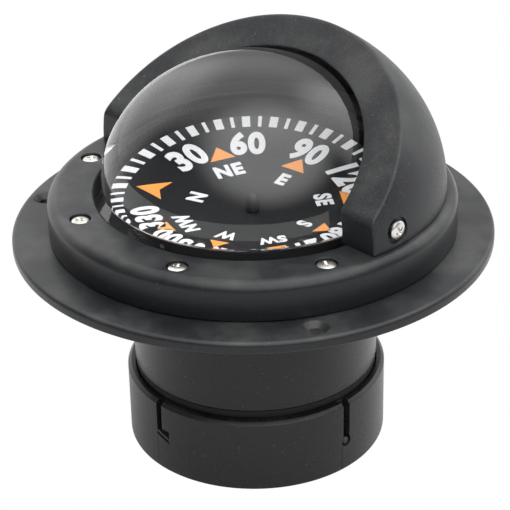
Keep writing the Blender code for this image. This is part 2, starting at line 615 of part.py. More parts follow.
def build_bowl(shop):
    collar = FLANGE_TOP + BOWL_COLLAR
    floor = BOWL_BOTTOM + BOWL_FLOOR
    hole = DIAPHRAGM_RADIUS - RETAINER_WIDTH
    profile = [(BOWL_BORE, collar), (BOWL_RADIUS, collar), (BOWL_RADIUS, BOWL_FLANGE_TOP)]
    profile += [(DOME_LIP_RADIUS, BOWL_FLANGE_TOP), (DOME_LIP_RADIUS, BOWL_FLANGE_BOTTOM)]
    profile += [(BOWL_RADIUS, BOWL_FLANGE_BOTTOM)]
    profile += arc(BOWL_CORNER, BOWL_CORNER, BOWL_RADIUS - BOWL_CORNER, BOWL_BOTTOM + BOWL_CORNER,
                   0.0, -90.0, 4)
    profile += [(hole, BOWL_BOTTOM), (hole, floor)]
    inner_corner = BOWL_CORNER - BOWL_FLOOR
    profile += arc(inner_corner, inner_corner, BOWL_BORE - inner_corner, floor + inner_corner,
                   -90.0, 0.0, 4)
    bowl = shop.turned("bowl", profile, "inner_plastic")
    for side, word in ((-1.0, "front"), (1.0, "rear")):
        centre = (0.0, side * (BOWL_BORE + BOWL_WALL / 2.0), AXIS_LEVEL)
        bore = shop.bar_cutter(f"roll_bore_{word}", PIVOT_PIN_RADIUS + RUNNING, 3.0 * BOWL_WALL, centre,
                               (0.0, 1.0, 0.0))
        combine(bowl, bore)
    plug_spot = Vector((0.0, PLUG_OFFSET, BOWL_BOTTOM))
    plug_hole = shop.bar_cutter("plug_hole", PLUG_RADIUS + RUNNING, 4.0 * BOWL_FLOOR, plug_spot,
                                (0.0, 0.0, 1.0))
    combine(bowl, plug_hole)
    head = BOWL_FLOOR / 2.0
    plug_profile = [(0.0, floor), (PLUG_RADIUS, floor), (PLUG_RADIUS, BOWL_BOTTOM - GAP)]
    plug_profile += [(PLUG_HEAD_RADIUS, BOWL_BOTTOM - GAP), (PLUG_HEAD_RADIUS, BOWL_BOTTOM - GAP - head)]
    plug_profile += [(0.0, BOWL_BOTTOM - GAP - head)]
    plug = shop.turned("filler_plug", plug_profile, "brass", SMALL_STEPS, False)
    plug.location = (0.0, PLUG_OFFSET, 0.0)
    skin_top = BOWL_BOTTOM - GAP
    skin_low = skin_top - DIAPHRAGM_THICKNESS
    fold = 2.0 * DIAPHRAGM_THICKNESS
    inside, middle, outside = (share * hole for share in DIAPHRAGM_FOLD)
    skin = [(0.0, skin_top), (inside, skin_top), (middle, skin_top - fold), (outside, skin_top)]
    skin += [(DIAPHRAGM_RADIUS, skin_top), (DIAPHRAGM_RADIUS, skin_low), (outside, skin_low)]
    skin += [(middle, skin_low - fold), (inside, skin_low), (0.0, skin_low)]
    diaphragm = shop.turned("diaphragm", skin, "rubber", STEPS // 2, False)
    ring_top = skin_low - GAP
    ring_low = ring_top - RETAINER_THICKNESS
    ring = [(hole, ring_top), (DIAPHRAGM_RADIUS, ring_top), (DIAPHRAGM_RADIUS, ring_low), (hole, ring_low)]
    retainer = shop.turned("diaphragm_retainer", ring, "inner_plastic", STEPS // 2)
    return [bowl, plug, diaphragm, retainer]


def build_can(shop):
    groove_top = CUP_HEIGHT + GAP + SEAL_GROOVE_HEIGHT
    groove_low = groove_top - SEAL_GROOVE_HEIGHT - GAP
    neck = CAN_RADIUS - SEAL_GROOVE_DEPTH
    lip_top = FLANGE_TOP - GAP / 2.0
    lip_low = lip_top - CAN_LIP_THICKNESS
    step = BOWL_BOTTOM - 2.0 * PLUG_HEAD_RADIUS
    floor_top = CAN_FLOOR_HEIGHT + CAN_FLOOR
    vent = GLAND_RADIUS
    profile = [(CAN_BORE, lip_top), (CAN_LIP_RADIUS, lip_top), (CAN_LIP_RADIUS, lip_low)]
    profile += [(CAN_RADIUS, lip_low), (CAN_RADIUS, groove_top), (neck, groove_top), (neck, groove_low)]
    profile += [(SPIGOT_RADIUS, groove_low)]
    profile += [(SPIGOT_RADIUS, CAN_FLOOR_HEIGHT), (vent, CAN_FLOOR_HEIGHT), (vent, floor_top)]
    profile += [(CAN_LOWER_BORE, floor_top), (CAN_LOWER_BORE, step), (CAN_BORE, step + CAN_FLOOR)]
    can = shop.turned("can", profile, "can_plastic", FINE_STEPS)
    wall = (CAN_LOWER_BORE + SPIGOT_RADIUS) / 2.0
    for angle, word in ((SLOT_ANGLE + 90.0, "right"), (SLOT_ANGLE - 90.0, "left")):
        hole = shop.bar_cutter(f"guide_hole_{word}", GUIDE_PIN_RADIUS + RUNNING, 2.0 * CAN_LOWER_WALL,
                               around(angle, wall, GUIDE_PIN_HEIGHT), around(angle, 1.0))
        combine(can, hole)
    for direction, height, word in shaft_table():
        end = Vector(direction) * wall + Vector((0.0, 0.0, height))
        hole = shop.bar_cutter(f"{word}_access", SHAFT_RADIUS + RUNNING, 2.0 * CAN_LOWER_WALL, end,
                               direction)
        combine(can, hole)
    seal_radius = CAN_RADIUS - GAP
    seal_inner = neck + GAP
    top = groove_top - GAP
    low = CUP_HEIGHT + GAP
    ring = [(seal_inner, top), (seal_radius, top), (seal_radius, low), (seal_inner, low)]
    seal = shop.turned("cup_seal", ring, "rubber")
    pins = []
    for angle, word in ((SLOT_ANGLE + 90.0, "right"), (SLOT_ANGLE - 90.0, "left")):
        inner = CAN_LOWER_BORE + GAP
        outer = CUP_RADIUS - GAP
        centre = around(angle, (inner + outer) / 2.0, GUIDE_PIN_HEIGHT)
        direction = around(angle, 1.0)
        pins.append(shop.bar(f"guide_pin_{word}", GUIDE_PIN_RADIUS, outer - inner, centre, direction,
                             "can_plastic"))
    return [can, seal] + pins


def latch_slot_points():
    """The slot and the gap above the spring finger, as seen on the cup's wall."""
    half = LATCH_SLOT_WIDTH / 2.0
    right = LATCH_FOOT_LENGTH - half
    finger_left = LATCH_FOOT_TOP - LATCH_FINGER_WIDTH
    finger_right = finger_left - LATCH_FINGER_DROP
    top = CUP_HEIGHT + CUP_CHAMFER
    return [(-half, finger_left), (right, finger_right), (right, LATCH_FOOT_TOP), (half, LATCH_FOOT_TOP),
            (half, top), (-half, top)]


def latch_slit_points():
    """The slanting slit that frees the spring finger from below."""
    half = LATCH_SLOT_WIDTH / 2.0
    right = LATCH_FOOT_LENGTH - half
    left_top = LATCH_FOOT_TOP - 2.0 * LATCH_FINGER_WIDTH
    right_top = left_top - LATCH_FINGER_DROP
    low = [(-half, left_top - LATCH_SLIT), (right, right_top - LATCH_SLIT)]
    return low + [(right, right_top), (-half, left_top)]


def build_cup(shop):
    profile = [(CUP_BORE, CUP_HEIGHT), (CUP_RADIUS - CUP_CHAMFER, CUP_HEIGHT)]
    profile += [(CUP_RADIUS, CUP_HEIGHT - CUP_CHAMFER)]
    profile += round_corner(CUP_RADIUS, 0.0, CUP_BOTTOM_ROUND, 0.0, 3)
    profile += [(GLAND_RADIUS + GAP, 0.0), (GLAND_RADIUS + GAP, CUP_FLOOR), (CUP_BORE, CUP_FLOOR)]
    cup = shop.turned("bottom_cup", profile, "can_plastic", FINE_STEPS)
    wall = CUP_RADIUS - CUP_WALL / 2.0
    for angle, word in ((SLOT_ANGLE, "front"), (SLOT_ANGLE + 180.0, "rear")):
        place = facing(angle, wall, 0.0)
        combine(cup, shop.outline_cutter(f"latch_slot_{word}", latch_slot_points(), 2.0 * CUP_WALL, place))
        combine(cup, shop.outline_cutter(f"latch_slit_{word}", latch_slit_points(), 2.0 * CUP_WALL, place))
    for angle, word in ((SLOT_ANGLE + 90.0, "right"), (SLOT_ANGLE - 90.0, "left")):
        eye = shop.bar_cutter(f"guide_eye_{word}", GUIDE_EYE_RADIUS, 2.0 * CUP_WALL,
                              around(angle, wall, GUIDE_PIN_HEIGHT), around(angle, 1.0))
        combine(cup, eye)
        length = CUP_HEIGHT + CUP_CHAMFER - GUIDE_PIN_HEIGHT
        centre = Vector((wall, 0.0, GUIDE_PIN_HEIGHT + length / 2.0))
        slot = shop.block_cutter(f"guide_slot_{word}", (2.0 * CUP_WALL, GUIDE_SLOT_WIDTH, length), centre,
                                 math.radians(angle - 90.0))
        combine(cup, slot)
    rim = GLAND_RADIUS + CUP_FLOOR / 2.0
    groove = CUP_FLOOR + GAP
    brim = groove + CUP_FLOOR / 2.0
    gland_profile = [(GLAND_BORE, brim), (rim, brim), (rim, groove), (GLAND_RADIUS, groove)]
    gland_profile += [(GLAND_RADIUS, GAP), (GLAND_BORE, GAP)]
    gland = shop.turned("cable_grommet", gland_profile, "rubber", STEPS // 2)
    attach([cup, gland], "cup_slide_axis", (0.0, 0.0, 0.0), shop.parts)
    return [cup, gland]


def build_gimbal(shop):
    half = RING_HEIGHT / 2.0
    top = AXIS_LEVEL + half
    low = AXIS_LEVEL - half
    profile = [(RING_BORE, top), (RING_RADIUS, top), (RING_RADIUS, low), (RING_BORE, low)]
    ring = shop.turned("gimbal_ring", profile, "inner_plastic")
    middle = (RING_BORE + RING_RADIUS) / 2.0
    pins = []
    roll_pins = []
    for side, word in ((-1.0, "front"), (1.0, "rear")):
        bore = shop.bar_cutter(f"ring_roll_bore_{word}", PIVOT_PIN_RADIUS + RUNNING, 2.0 * RING_WIDTH,
                               (0.0, side * middle, AXIS_LEVEL), (0.0, 1.0, 0.0))
        combine(ring, bore)
        inner = RING_BORE + GAP
        centre = (0.0, side * (inner + BOWL_RADIUS) / 2.0, AXIS_LEVEL)
        roll_pins.append(shop.bar(f"roll_pin_{word}", PIVOT_PIN_RADIUS, BOWL_RADIUS - inner, centre,
                                  (0.0, 1.0, 0.0), "stainless"))
    for side, word in ((-1.0, "left"), (1.0, "right")):
        bore = shop.bar_cutter(f"ring_pitch_bore_{word}", PIVOT_PIN_RADIUS + RUNNING, 2.0 * RING_WIDTH,
                               (side * middle, 0.0, AXIS_LEVEL), (1.0, 0.0, 0.0))
        combine(ring, bore)
        inner = CRADLE_BORE + GAP
        outer = RING_RADIUS - GAP
        centre = (side * (inner + outer) / 2.0, 0.0, AXIS_LEVEL)
        pins.append(shop.bar(f"pitch_pin_{word}", PIVOT_PIN_RADIUS, outer - inner, centre, (1.0, 0.0, 0.0),
                             "stainless"))
    attach([ring] + pins, "roll_axis", (0.0, 0.0, AXIS_LEVEL), shop.parts)
    return [ring] + pins + roll_pins


def build_cradle(shop):
    """The pendulous cup that carries the card's pivot, a sphere about the gimbal axes with a flat floor."""
    rim = AXIS_LEVEL + CRADLE_RIM
    start = math.degrees(math.asin(CRADLE_RIM / CRADLE_RADIUS))
    end = -math.degrees(math.asin(CRADLE_DEPTH / CRADLE_RADIUS))
    inner_depth = CRADLE_DEPTH - CRADLE_WALL
    inner_end = -math.degrees(math.asin(inner_depth / CRADLE_BORE))
    inner_start = math.degrees(math.asin(CRADLE_RIM / CRADLE_BORE))
    hole = POST_RADIUS + RUNNING
    profile = arc(CRADLE_RADIUS, CRADLE_RADIUS, 0.0, AXIS_LEVEL, start, end, 6)
    profile += [(hole, CRADLE_BOTTOM), (hole, CRADLE_BOTTOM + CRADLE_WALL)]
    profile += arc(CRADLE_BORE, CRADLE_BORE, 0.0, AXIS_LEVEL, inner_end, inner_start, 6)
    cradle = shop.turned("cradle", profile, "inner_plastic")
    wall = (CRADLE_BORE + CRADLE_RADIUS) / 2.0
    for side, word in ((-1.0, "left"), (1.0, "right")):
        bore = shop.bar_cutter(f"cradle_bore_{word}", PIVOT_PIN_RADIUS + RUNNING, 3.0 * CRADLE_WALL,
                               (side * wall, 0.0, AXIS_LEVEL), (1.0, 0.0, 0.0), 12)
        combine(cradle, bore)
    lubber = shop.bar("lubber_post", LUBBER_RADIUS, LUBBER_HEIGHT,
                      (0.0, wall, rim + GAP + LUBBER_HEIGHT / 2.0), (0.0, 0.0, 1.0), "white_plastic")
    tip = JEWEL_TOP - JEWEL_HEIGHT / 2.0 - GAP
    nut = CRADLE_BOTTOM + CRADLE_WALL + GAP
    weight_top = CRADLE_BOTTOM - GAP
    weight_low = weight_top - WEIGHT_HEIGHT
    post_profile = [(0.0, tip), (POST_POINT * POST_RADIUS, tip - POST_RADIUS)]
    post_profile += [(POST_RADIUS, tip - 3.0 * POST_RADIUS)]
    post_profile += [(POST_RADIUS, nut + POST_RADIUS), (2.0 * POST_RADIUS, nut + POST_RADIUS)]
    post_profile += [(2.0 * POST_RADIUS, nut), (POST_RADIUS, nut)]
    post_profile += [(POST_RADIUS, weight_low), (0.0, weight_low)]
    post = shop.turned("pivot_post", post_profile, "brass", SMALL_STEPS, False)
    edge = WEIGHT_HEIGHT / 5.0
    weight_profile = [(hole, weight_top), (WEIGHT_RADIUS - edge, weight_top)]
    weight_profile += [(WEIGHT_RADIUS, weight_top - edge), (WEIGHT_RADIUS, weight_low + edge)]
    weight_profile += [(WEIGHT_RADIUS - edge, weight_low), (hole, weight_low)]
    weight = shop.turned("counterweight", weight_profile, "lead", STEPS // 2)
    attach([cradle, lubber, post, weight], "pitch_axis", (0.0, 0.0, AXIS_LEVEL), shop.parts)
    return [cradle, lubber, post, weight]


def build_card(shop):
    card_profile = [(0.0, CARD_TOP), (CARD_RADIUS, CARD_TOP)]
    card_profile += [(CARD_RADIUS, CARD_BOTTOM), (0.0, CARD_BOTTOM)]
    card = shop.turned("card", card_profile, "card_black", STEPS, False)
    bore = JEWEL_RADIUS + RUNNING
    roof = JEWEL_TOP + GAP
    edge = FLOAT_HEIGHT / 3.0
    float_profile = [(0.0, FLOAT_TOP), (FLOAT_RADIUS, FLOAT_TOP), (FLOAT_RADIUS, FLOAT_BOTTOM + edge)]
    float_profile += [(FLOAT_RADIUS - edge, FLOAT_BOTTOM), (bore, FLOAT_BOTTOM), (bore, roof), (0.0, roof)]
    buoy = shop.turned("card_float", float_profile, "float_plastic", STEPS // 2, False)
    jewel_low = JEWEL_TOP - JEWEL_HEIGHT
    jewel_profile = [(0.0, JEWEL_TOP), (JEWEL_RADIUS, JEWEL_TOP), (JEWEL_RADIUS, jewel_low)]
    jewel_profile += [(JEWEL_CUP * JEWEL_RADIUS, jewel_low), (0.0, JEWEL_TOP - JEWEL_HEIGHT / 2.0)]
    jewel = shop.turned("jewel_cup", jewel_profile, "jewel", SMALL_STEPS, False)
    shoulder = CARD_TOP + GAP
    straight = shoulder + PEG_HEIGHT - PEG_RADIUS
    peg_profile = arc(PEG_RADIUS, PEG_RADIUS, 0.0, straight, 90.0, 0.0, 4)
    peg_profile += [(PEG_RADIUS, shoulder), (0.0, shoulder)]
    peg_profile[0] = (0.0, straight + PEG_RADIUS)
    peg = shop.turned("card_peg", peg_profile, "inner_plastic", SMALL_STEPS, False)
    magnets = []
    level = FLOAT_TOP - CARD_MAGNET_RADIUS
    for side, word in ((-1.0, "left"), (1.0, "right")):
        magnets.append(shop.bar(f"card_magnet_{word}", CARD_MAGNET_RADIUS, CARD_MAGNET_LENGTH,
                                (side * CARD_MAGNET_OFFSET, 0.0, level), (0.0, 1.0, 0.0), "magnet"))
    attach([card, buoy, jewel, peg] + magnets, "card_axis", (0.0, 0.0, CARD_TOP), shop.parts)
    return [card, buoy, jewel, peg] + magnets


def shaft_table():
    """Direction of each compensator shaft's slotted end, its height and its name."""
    heading = ((-1.0, 0.0, 0.0), HEADING_SHAFT_HEIGHT, "heading")
    beam = ((0.0, 1.0, 0.0), BEAM_SHAFT_HEIGHT, "beam")
    return (heading, beam)


def build_compensator(shop):
    outer = CAN_LOWER_BORE - GAP
    inner = outer - FRAME_WIDTH
    profile = [(inner, FRAME_TOP), (outer, FRAME_TOP), (outer, FRAME_BOTTOM), (inner, FRAME_BOTTOM)]
    frame = shop.turned("compensator_frame", profile, "inner_plastic")
    pieces = [frame]
    for direction, height, word in shaft_table():
        axis = Vector(direction)
        level = Vector((0.0, 0.0, height))
        through = shop.bar_cutter(f"{word}_bore", SHAFT_RADIUS + RUNNING, 2.0 * SPIGOT_RADIUS, level, axis)
        combine(frame, through)
        near = SPIGOT_RADIUS - GAP
        far = outer - GAP
        middle = level + axis * (near - far) / 2.0
        shaft = shop.bar(f"{word}_shaft", SHAFT_RADIUS, near + far, middle, axis, "brass")
        spot = level + axis * SHAFT_MAGNET_OFFSET
        hub = shop.bar_cutter(f"{word}_hub", SHAFT_HUB_RADIUS, SHAFT_HUB_LENGTH, spot, axis)
        combine(shaft, hub, "UNION")
        cross = shop.bar_cutter(f"{word}_cross_hole", SHAFT_MAGNET_RADIUS + RUNNING, 4.0 * SHAFT_HUB_RADIUS,
                                spot, (0.0, 0.0, 1.0))
        combine(shaft, cross)
        slot_size = (SHAFT_RADIUS, SHAFT_RADIUS / 2.0, 4.0 * SHAFT_RADIUS)
        if axis.y:
            slot_size = (SHAFT_RADIUS / 2.0, SHAFT_RADIUS, 4.0 * SHAFT_RADIUS)
        slot = shop.block_cutter(f"{word}_driver_slot", slot_size, level + axis * near)
        combine(shaft, slot)
        magnet = shop.bar(f"{word}_magnet", SHAFT_MAGNET_RADIUS, SHAFT_MAGNET_LENGTH, spot,
                          (0.0, 0.0, 1.0), "magnet")
        attach([shaft, magnet], f"{word}_axis", level, shop.parts)
        pieces += [shaft, magnet]
    bracket_low = FRAME_TOP + GAP
    bracket_top = bracket_low + BRACKET_THICKNESS
    length = 2.0 * (inner + FRAME_WIDTH / 2.0)
    bracket = shop.block("lamp_bracket", (BRACKET_WIDTH, length, BRACKET_THICKNESS),
                         (0.0, 0.0, (bracket_low + bracket_top) / 2.0), "inner_plastic")
    base_low = bracket_top + GAP
    base_top = base_low + LAMP_BASE_HEIGHT
    lamp_profile = arc(LAMP_RADIUS, LAMP_HEIGHT - LAMP_BASE_HEIGHT, 0.0, base_top, 90.0, 0.0, 4)
    lamp_profile[0] = (0.0, base_low + LAMP_HEIGHT)
    lamp_profile += [(LAMP_RADIUS, base_low), (0.0, base_low)]
    lamp = shop.turned("lamp", lamp_profile, "lamp_red", SMALL_STEPS, False)
    return pieces + [bracket, lamp]


def main():
    clear_scene()
    shop = Shop()
    builders = (build_mounting_flange, build_can, build_cup, build_bezel, build_hood, build_dome,
                build_bowl, build_gimbal, build_cradle, build_card, build_compensator)
    for build in builders:
        build(shop)
    shop.hide_cutters()
    bpy.context.view_layer.update()


main()
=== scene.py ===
"""Looks of a flush-mounting boat compass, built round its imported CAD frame.

Metres, +Z up. The origin is the centre of the bottom cup's underside. The helmsman looks from the
-Y side, where the hood is open, and angles round the vertical axis count from -Y towards +X.
"""

import logging
import math
from dataclasses import dataclass, field
from enum import Enum
from typing import Callable, Sequence

import bmesh
import bpy
from mathutils import Matrix, Quaternion, Vector


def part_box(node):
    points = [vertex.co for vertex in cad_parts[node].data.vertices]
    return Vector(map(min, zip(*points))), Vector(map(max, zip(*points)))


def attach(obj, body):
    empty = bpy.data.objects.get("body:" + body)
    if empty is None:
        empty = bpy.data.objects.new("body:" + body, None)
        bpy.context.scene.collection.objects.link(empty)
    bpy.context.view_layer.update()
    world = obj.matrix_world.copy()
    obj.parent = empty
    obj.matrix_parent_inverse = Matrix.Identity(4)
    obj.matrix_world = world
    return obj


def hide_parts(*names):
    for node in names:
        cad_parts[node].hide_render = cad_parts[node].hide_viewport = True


LOG = logging.getLogger("binnacle_compass")
MM = 0.001
FIT = 0.3 * MM                    # gap between faces that touch in the assembled compass
FINE = 192                        # segments of the large turned pieces
MEDIUM = 96                       # segments of the middle-sized ones
SMALL = 48                        # segments of screws and pins
SOFT_EDGE = math.radians(32.0)    # edges sharper than this stay sharp in the shading
FULL_TURN = 360.0
UP = Vector((0.0, 0.0, 1.0))

Point = tuple[float, float]
Colour = tuple[float, float, float]

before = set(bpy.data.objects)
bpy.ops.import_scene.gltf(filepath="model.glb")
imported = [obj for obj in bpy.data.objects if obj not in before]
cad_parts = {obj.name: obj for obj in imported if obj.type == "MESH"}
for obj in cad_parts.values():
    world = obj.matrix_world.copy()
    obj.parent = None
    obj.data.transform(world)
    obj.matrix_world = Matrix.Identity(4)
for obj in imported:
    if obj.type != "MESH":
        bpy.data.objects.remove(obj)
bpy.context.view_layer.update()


# ---------------------------------------------------------------- reading the frame


@dataclass(frozen=True)
class Extent:
    """Where a CAD node lies: its lowest and highest level and its reach along +X."""

    low: float
    high: float
    radius: float

    @classmethod
    def of(cls, node: str) -> "Extent":
        """Reads a node's box from the frame.

        Args:
            node: The CAD node's name.

        Returns:
            The node's extent in the row frame.
        """
        low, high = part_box(node)
        return cls(low.z, high.z, high.x)


class Body(Enum):
    """The rigid bodies that pieces ride on."""

    HOUSING = "housing"
    CUP = "cup"
    GIMBAL = "gimbal"
    CRADLE = "cradle"
    CARD = "card"


class Slot(Enum):
    """The record's material slots."""

    HARD_PLASTIC = "hard_plastic"
    HOOD_PLASTIC = "hood_plastic"
    CAN_PLASTIC = "can_plastic"
    INNER_PLASTIC = "inner_plastic"
    CLEAR_ACRYLIC = "clear_acrylic"
    RUBBER = "rubber"
    STAINLESS = "stainless"
    BRASS = "brass"
    MAGNET = "magnet"
    CARD_BLACK = "card_black"
    FLOAT_PLASTIC = "float_plastic"
    JEWEL = "jewel"
    LEAD = "lead"
    WHITE_PLASTIC = "white_plastic"
    LAMP_RED = "lamp_red"


# ---------------------------------------------------------------- shape tools


def around(angle: float, radius: float, level: float = 0.0) -> Vector:
    """A point at an angle from -Y towards +X.

    Args:
        angle: Degrees round the vertical axis.
        radius: Distance from the axis.
        level: Height above the underside.

    Returns:
        The point in the row frame.
    """
    turn = math.radians(angle)
    return Vector((radius * math.sin(turn), -radius * math.cos(turn), level))


def arc(radius_x: float, radius_z: float, centre: Point, start: float, end: float, count: int) -> list[Point]:
    """Points of an elliptic arc in a section.

    Args:
        radius_x: Half width of the ellipse.
        radius_z: Half height of the ellipse.
        centre: The ellipse's centre (radius, level).
        start: First angle in degrees; 0 is outwards and 90 is up.
        end: Last angle in degrees.
        count: Number of chords.

    Returns:
        The arc's points from start to end.
    """
    points = []
    for i in range(count + 1):
        angle = math.radians(start + (end - start) * i / count)
        points.append((centre[0] + radius_x * math.cos(angle), centre[1] + radius_z * math.sin(angle)))
    return points


def rounded(points: Sequence[Point], radii: Sequence[float], count: int = 5) -> list[Point]:
    """A closed outline whose corners are rounded.

    Args:
        points: The outline's sharp corners.
        radii: Each corner's radius; 0 keeps it sharp.
        count: Chords in each round.

    Returns:
        The outline with each rounded corner replaced by its arc.
    """
    made: list[Point] = []
    for i, corner in enumerate(points):
        radius = radii[i]
        here = Vector(corner)
        to_last = (Vector(points[i - 1]) - here)
        to_next = (Vector(points[(i + 1) % len(points)]) - here)
        if radius <= 0.0:
            made.append(corner)
            continue
        opening = to_last.angle(to_next)
        reach = radius / math.tan(opening / 2.0)
        first = here + to_last.normalized() * reach
        last = here + to_next.normalized() * reach
        middle = here + (to_last.normalized() + to_next.normalized()).normalized() * (
            radius / math.sin(opening / 2.0))
        start = first - middle
        sweep = start.angle_signed(last - middle)
        for k in range(count + 1):
            turn = -sweep * k / count
            made.append((middle.x + start.x * math.cos(turn) - start.y * math.sin(turn),
                         middle.y + start.x * math.sin(turn) + start.y * math.cos(turn)))
    return made


def add_piece(name: str, mesh: bpy.types.Mesh) -> bpy.types.Object:
    """Links a mesh to the scene as a smooth-shaded object.

    Args:
        name: The piece's name.
        mesh: Its mesh.

    Returns:
        The new object.
    """
    mesh.shade_smooth()
    mesh.set_sharp_from_angle(angle=SOFT_EDGE)
    piece = bpy.data.objects.new(name, mesh)
    bpy.context.scene.collection.objects.link(piece)
    return piece


def mesh_of(name: str, points: Sequence[Sequence[float]], faces: Sequence[Sequence[int]]) -> bpy.types.Mesh:
    """A mesh with welded points and faces that look outwards.

    Args:
        name: The mesh's name.
        points: Its points.
        faces: Point numbers of each face.

    Returns:
        The mesh.
    """
    mesh = bpy.data.meshes.new(name)
    mesh.from_pydata([tuple(p) for p in points], [], [tuple(f) for f in faces])
    shape = bmesh.new()
    shape.from_mesh(mesh)
    bmesh.ops.remove_doubles(shape, verts=shape.verts, dist=0.0005 * MM)
    bmesh.ops.recalc_face_normals(shape, faces=shape.faces)
    shape.to_mesh(mesh)
    shape.free()
    return mesh


def turned(name: str, profile: Sequence[Point], steps: int = FINE, closed: bool = True,
           place: Matrix | None = None) -> bpy.types.Object:
    """A section turned about the vertical axis.

    Args:
        name: The piece's name.
        profile: (radius, level) points.
        steps: Segments round the axis.
        closed: Whether the last point joins the first; an open section starts and ends on the axis.
        place: Where the turned shape is put, or None to leave it on the compass's axis.

    Returns:
        The piece as an object.
    """
    count = len(profile)
    points = []
    for i in range(steps):
        turn = math.tau * i / steps
        points += [(r * math.cos(turn), r * math.sin(turn), z) for r, z in profile]
    faces = []
    runs = count if closed else count - 1
    for i in range(steps):
        here = i * count
        beside = (i + 1) % steps * count
        for j in range(runs):
            after = (j + 1) % count
            faces.append((here + j, beside + j, beside + after, here + after))
    mesh = mesh_of(name, points, faces)
    if place is not None:
        mesh.transform(place)
    return add_piece(name, mesh)


def grid_faces(rows: int, columns: int, wrap: bool) -> list[tuple[int, int, int, int]]:
    """Faces of a grid of points stored row by row.

    Args:
        rows: Number of rows.
        columns: Points in each row.
        wrap: Whether each row's last point joins its first.

    Returns:
        Four point numbers for each face.
    """
    faces = []
    runs = columns if wrap else columns - 1
    for i in range(rows - 1):
        for j in range(runs):
            after = (j + 1) % columns
            here, above = i * columns, (i + 1) * columns
            faces.append((here + j, above + j, above + after, here + after))
    return faces


def carve(piece: bpy.types.Object, cutters: Sequence[bpy.types.Object],
          operation: str = "DIFFERENCE") -> bpy.types.Object:
    """Cuts or joins other shapes and removes them.

    Args:
        piece: The piece that is worked on.
        cutters: The shapes that cut it.
        operation: DIFFERENCE or UNION.

    Returns:
        The same piece with its new mesh.
    """
    for cutter in cutters:
        step = piece.modifiers.new(cutter.name, "BOOLEAN")
        step.operation = operation
        step.solver = "EXACT"
        step.object = cutter
    bpy.context.view_layer.update()
    evaluated = piece.evaluated_get(bpy.context.evaluated_depsgraph_get())
    mesh = bpy.data.meshes.new_from_object(evaluated)
    piece.modifiers.clear()
    mesh.shade_smooth()
    mesh.set_sharp_from_angle(angle=SOFT_EDGE)
    piece.data = mesh
    for cutter in cutters:
        bpy.data.objects.remove(cutter, do_unlink=True)
    return piece


def block(name: str, size: Sequence[float], place: Matrix) -> bpy.types.Object:
    """A box used as a cutter.

    Args:
        name: The object's name.
        size: Its three sides.
        place: Where it is put.

    Returns:
        The box as an object.
    """
    mesh = bpy.data.meshes.new(name)
    shape = bmesh.new()
    bmesh.ops.create_cube(shape, size=1.0)
    bmesh.ops.transform(shape, matrix=place @ Matrix.Diagonal((*size, 1.0)), verts=shape.verts)
    shape.to_mesh(mesh)
    shape.free()
    return add_piece(name, mesh)


def prism(name: str, outline: Sequence[Point], thickness: float, place: Matrix) -> bpy.types.Object:
    """A flat outline given a thickness about its local middle plane.

    Args:
        name: The object's name.
        outline: The corners in local X and Y.
        thickness: Its height along local Z.
        place: Where it is put.

    Returns:
        The prism as an object.
    """
    count = len(outline)
    low = [place @ Vector((x, y, -thickness / 2.0)) for x, y in outline]
    high = [place @ Vector((x, y, thickness / 2.0)) for x, y in outline]
    faces: list[tuple[int, ...]] = [tuple(range(count)), tuple(range(count, 2 * count))]
    faces += [(i, (i + 1) % count, count + (i + 1) % count, count + i) for i in range(count)]
    return add_piece(name, mesh_of(name, low + high, faces))


def facing(angle: float, radius: float, level: float) -> Matrix:
    """A frame on an upright wall.

    Args:
        angle: Degrees round the vertical axis.
        radius: The wall's radius.
        level: Its height.

    Returns:
        The matrix whose X runs round the wall, Y is up and Z points outwards.
    """
    turn = math.radians(angle)
    outward = Vector((math.sin(turn), -math.cos(turn), 0.0))
    sideways = Vector((math.cos(turn), math.sin(turn), 0.0))
    place = Matrix((sideways, UP, outward)).transposed().to_4x4()
    place.translation = outward * radius + UP * level
    return place


def joined(name: str, pieces: Sequence[bpy.types.Object], weld: bool = False) -> bpy.types.Object:
    """Several shapes as one piece.

    Args:
        name: The new piece's name.
        pieces: The shapes, which are removed.
        weld: Whether points that meet become one, so that open skins close.

    Returns:
        One object that holds them all.
    """
    shape = bmesh.new()
    for piece in pieces:
        piece.data.transform(piece.matrix_world)
        shape.from_mesh(piece.data)
    if weld:
        bmesh.ops.remove_doubles(shape, verts=shape.verts, dist=0.001 * MM)
        bmesh.ops.recalc_face_normals(shape, faces=shape.faces)
    mesh = bpy.data.meshes.new(name)
    shape.to_mesh(mesh)
    shape.free()
    for piece in pieces:
        bpy.data.objects.remove(piece, do_unlink=True)
    return add_piece(name, mesh)


# ---------------------------------------------------------------- shared shader effects


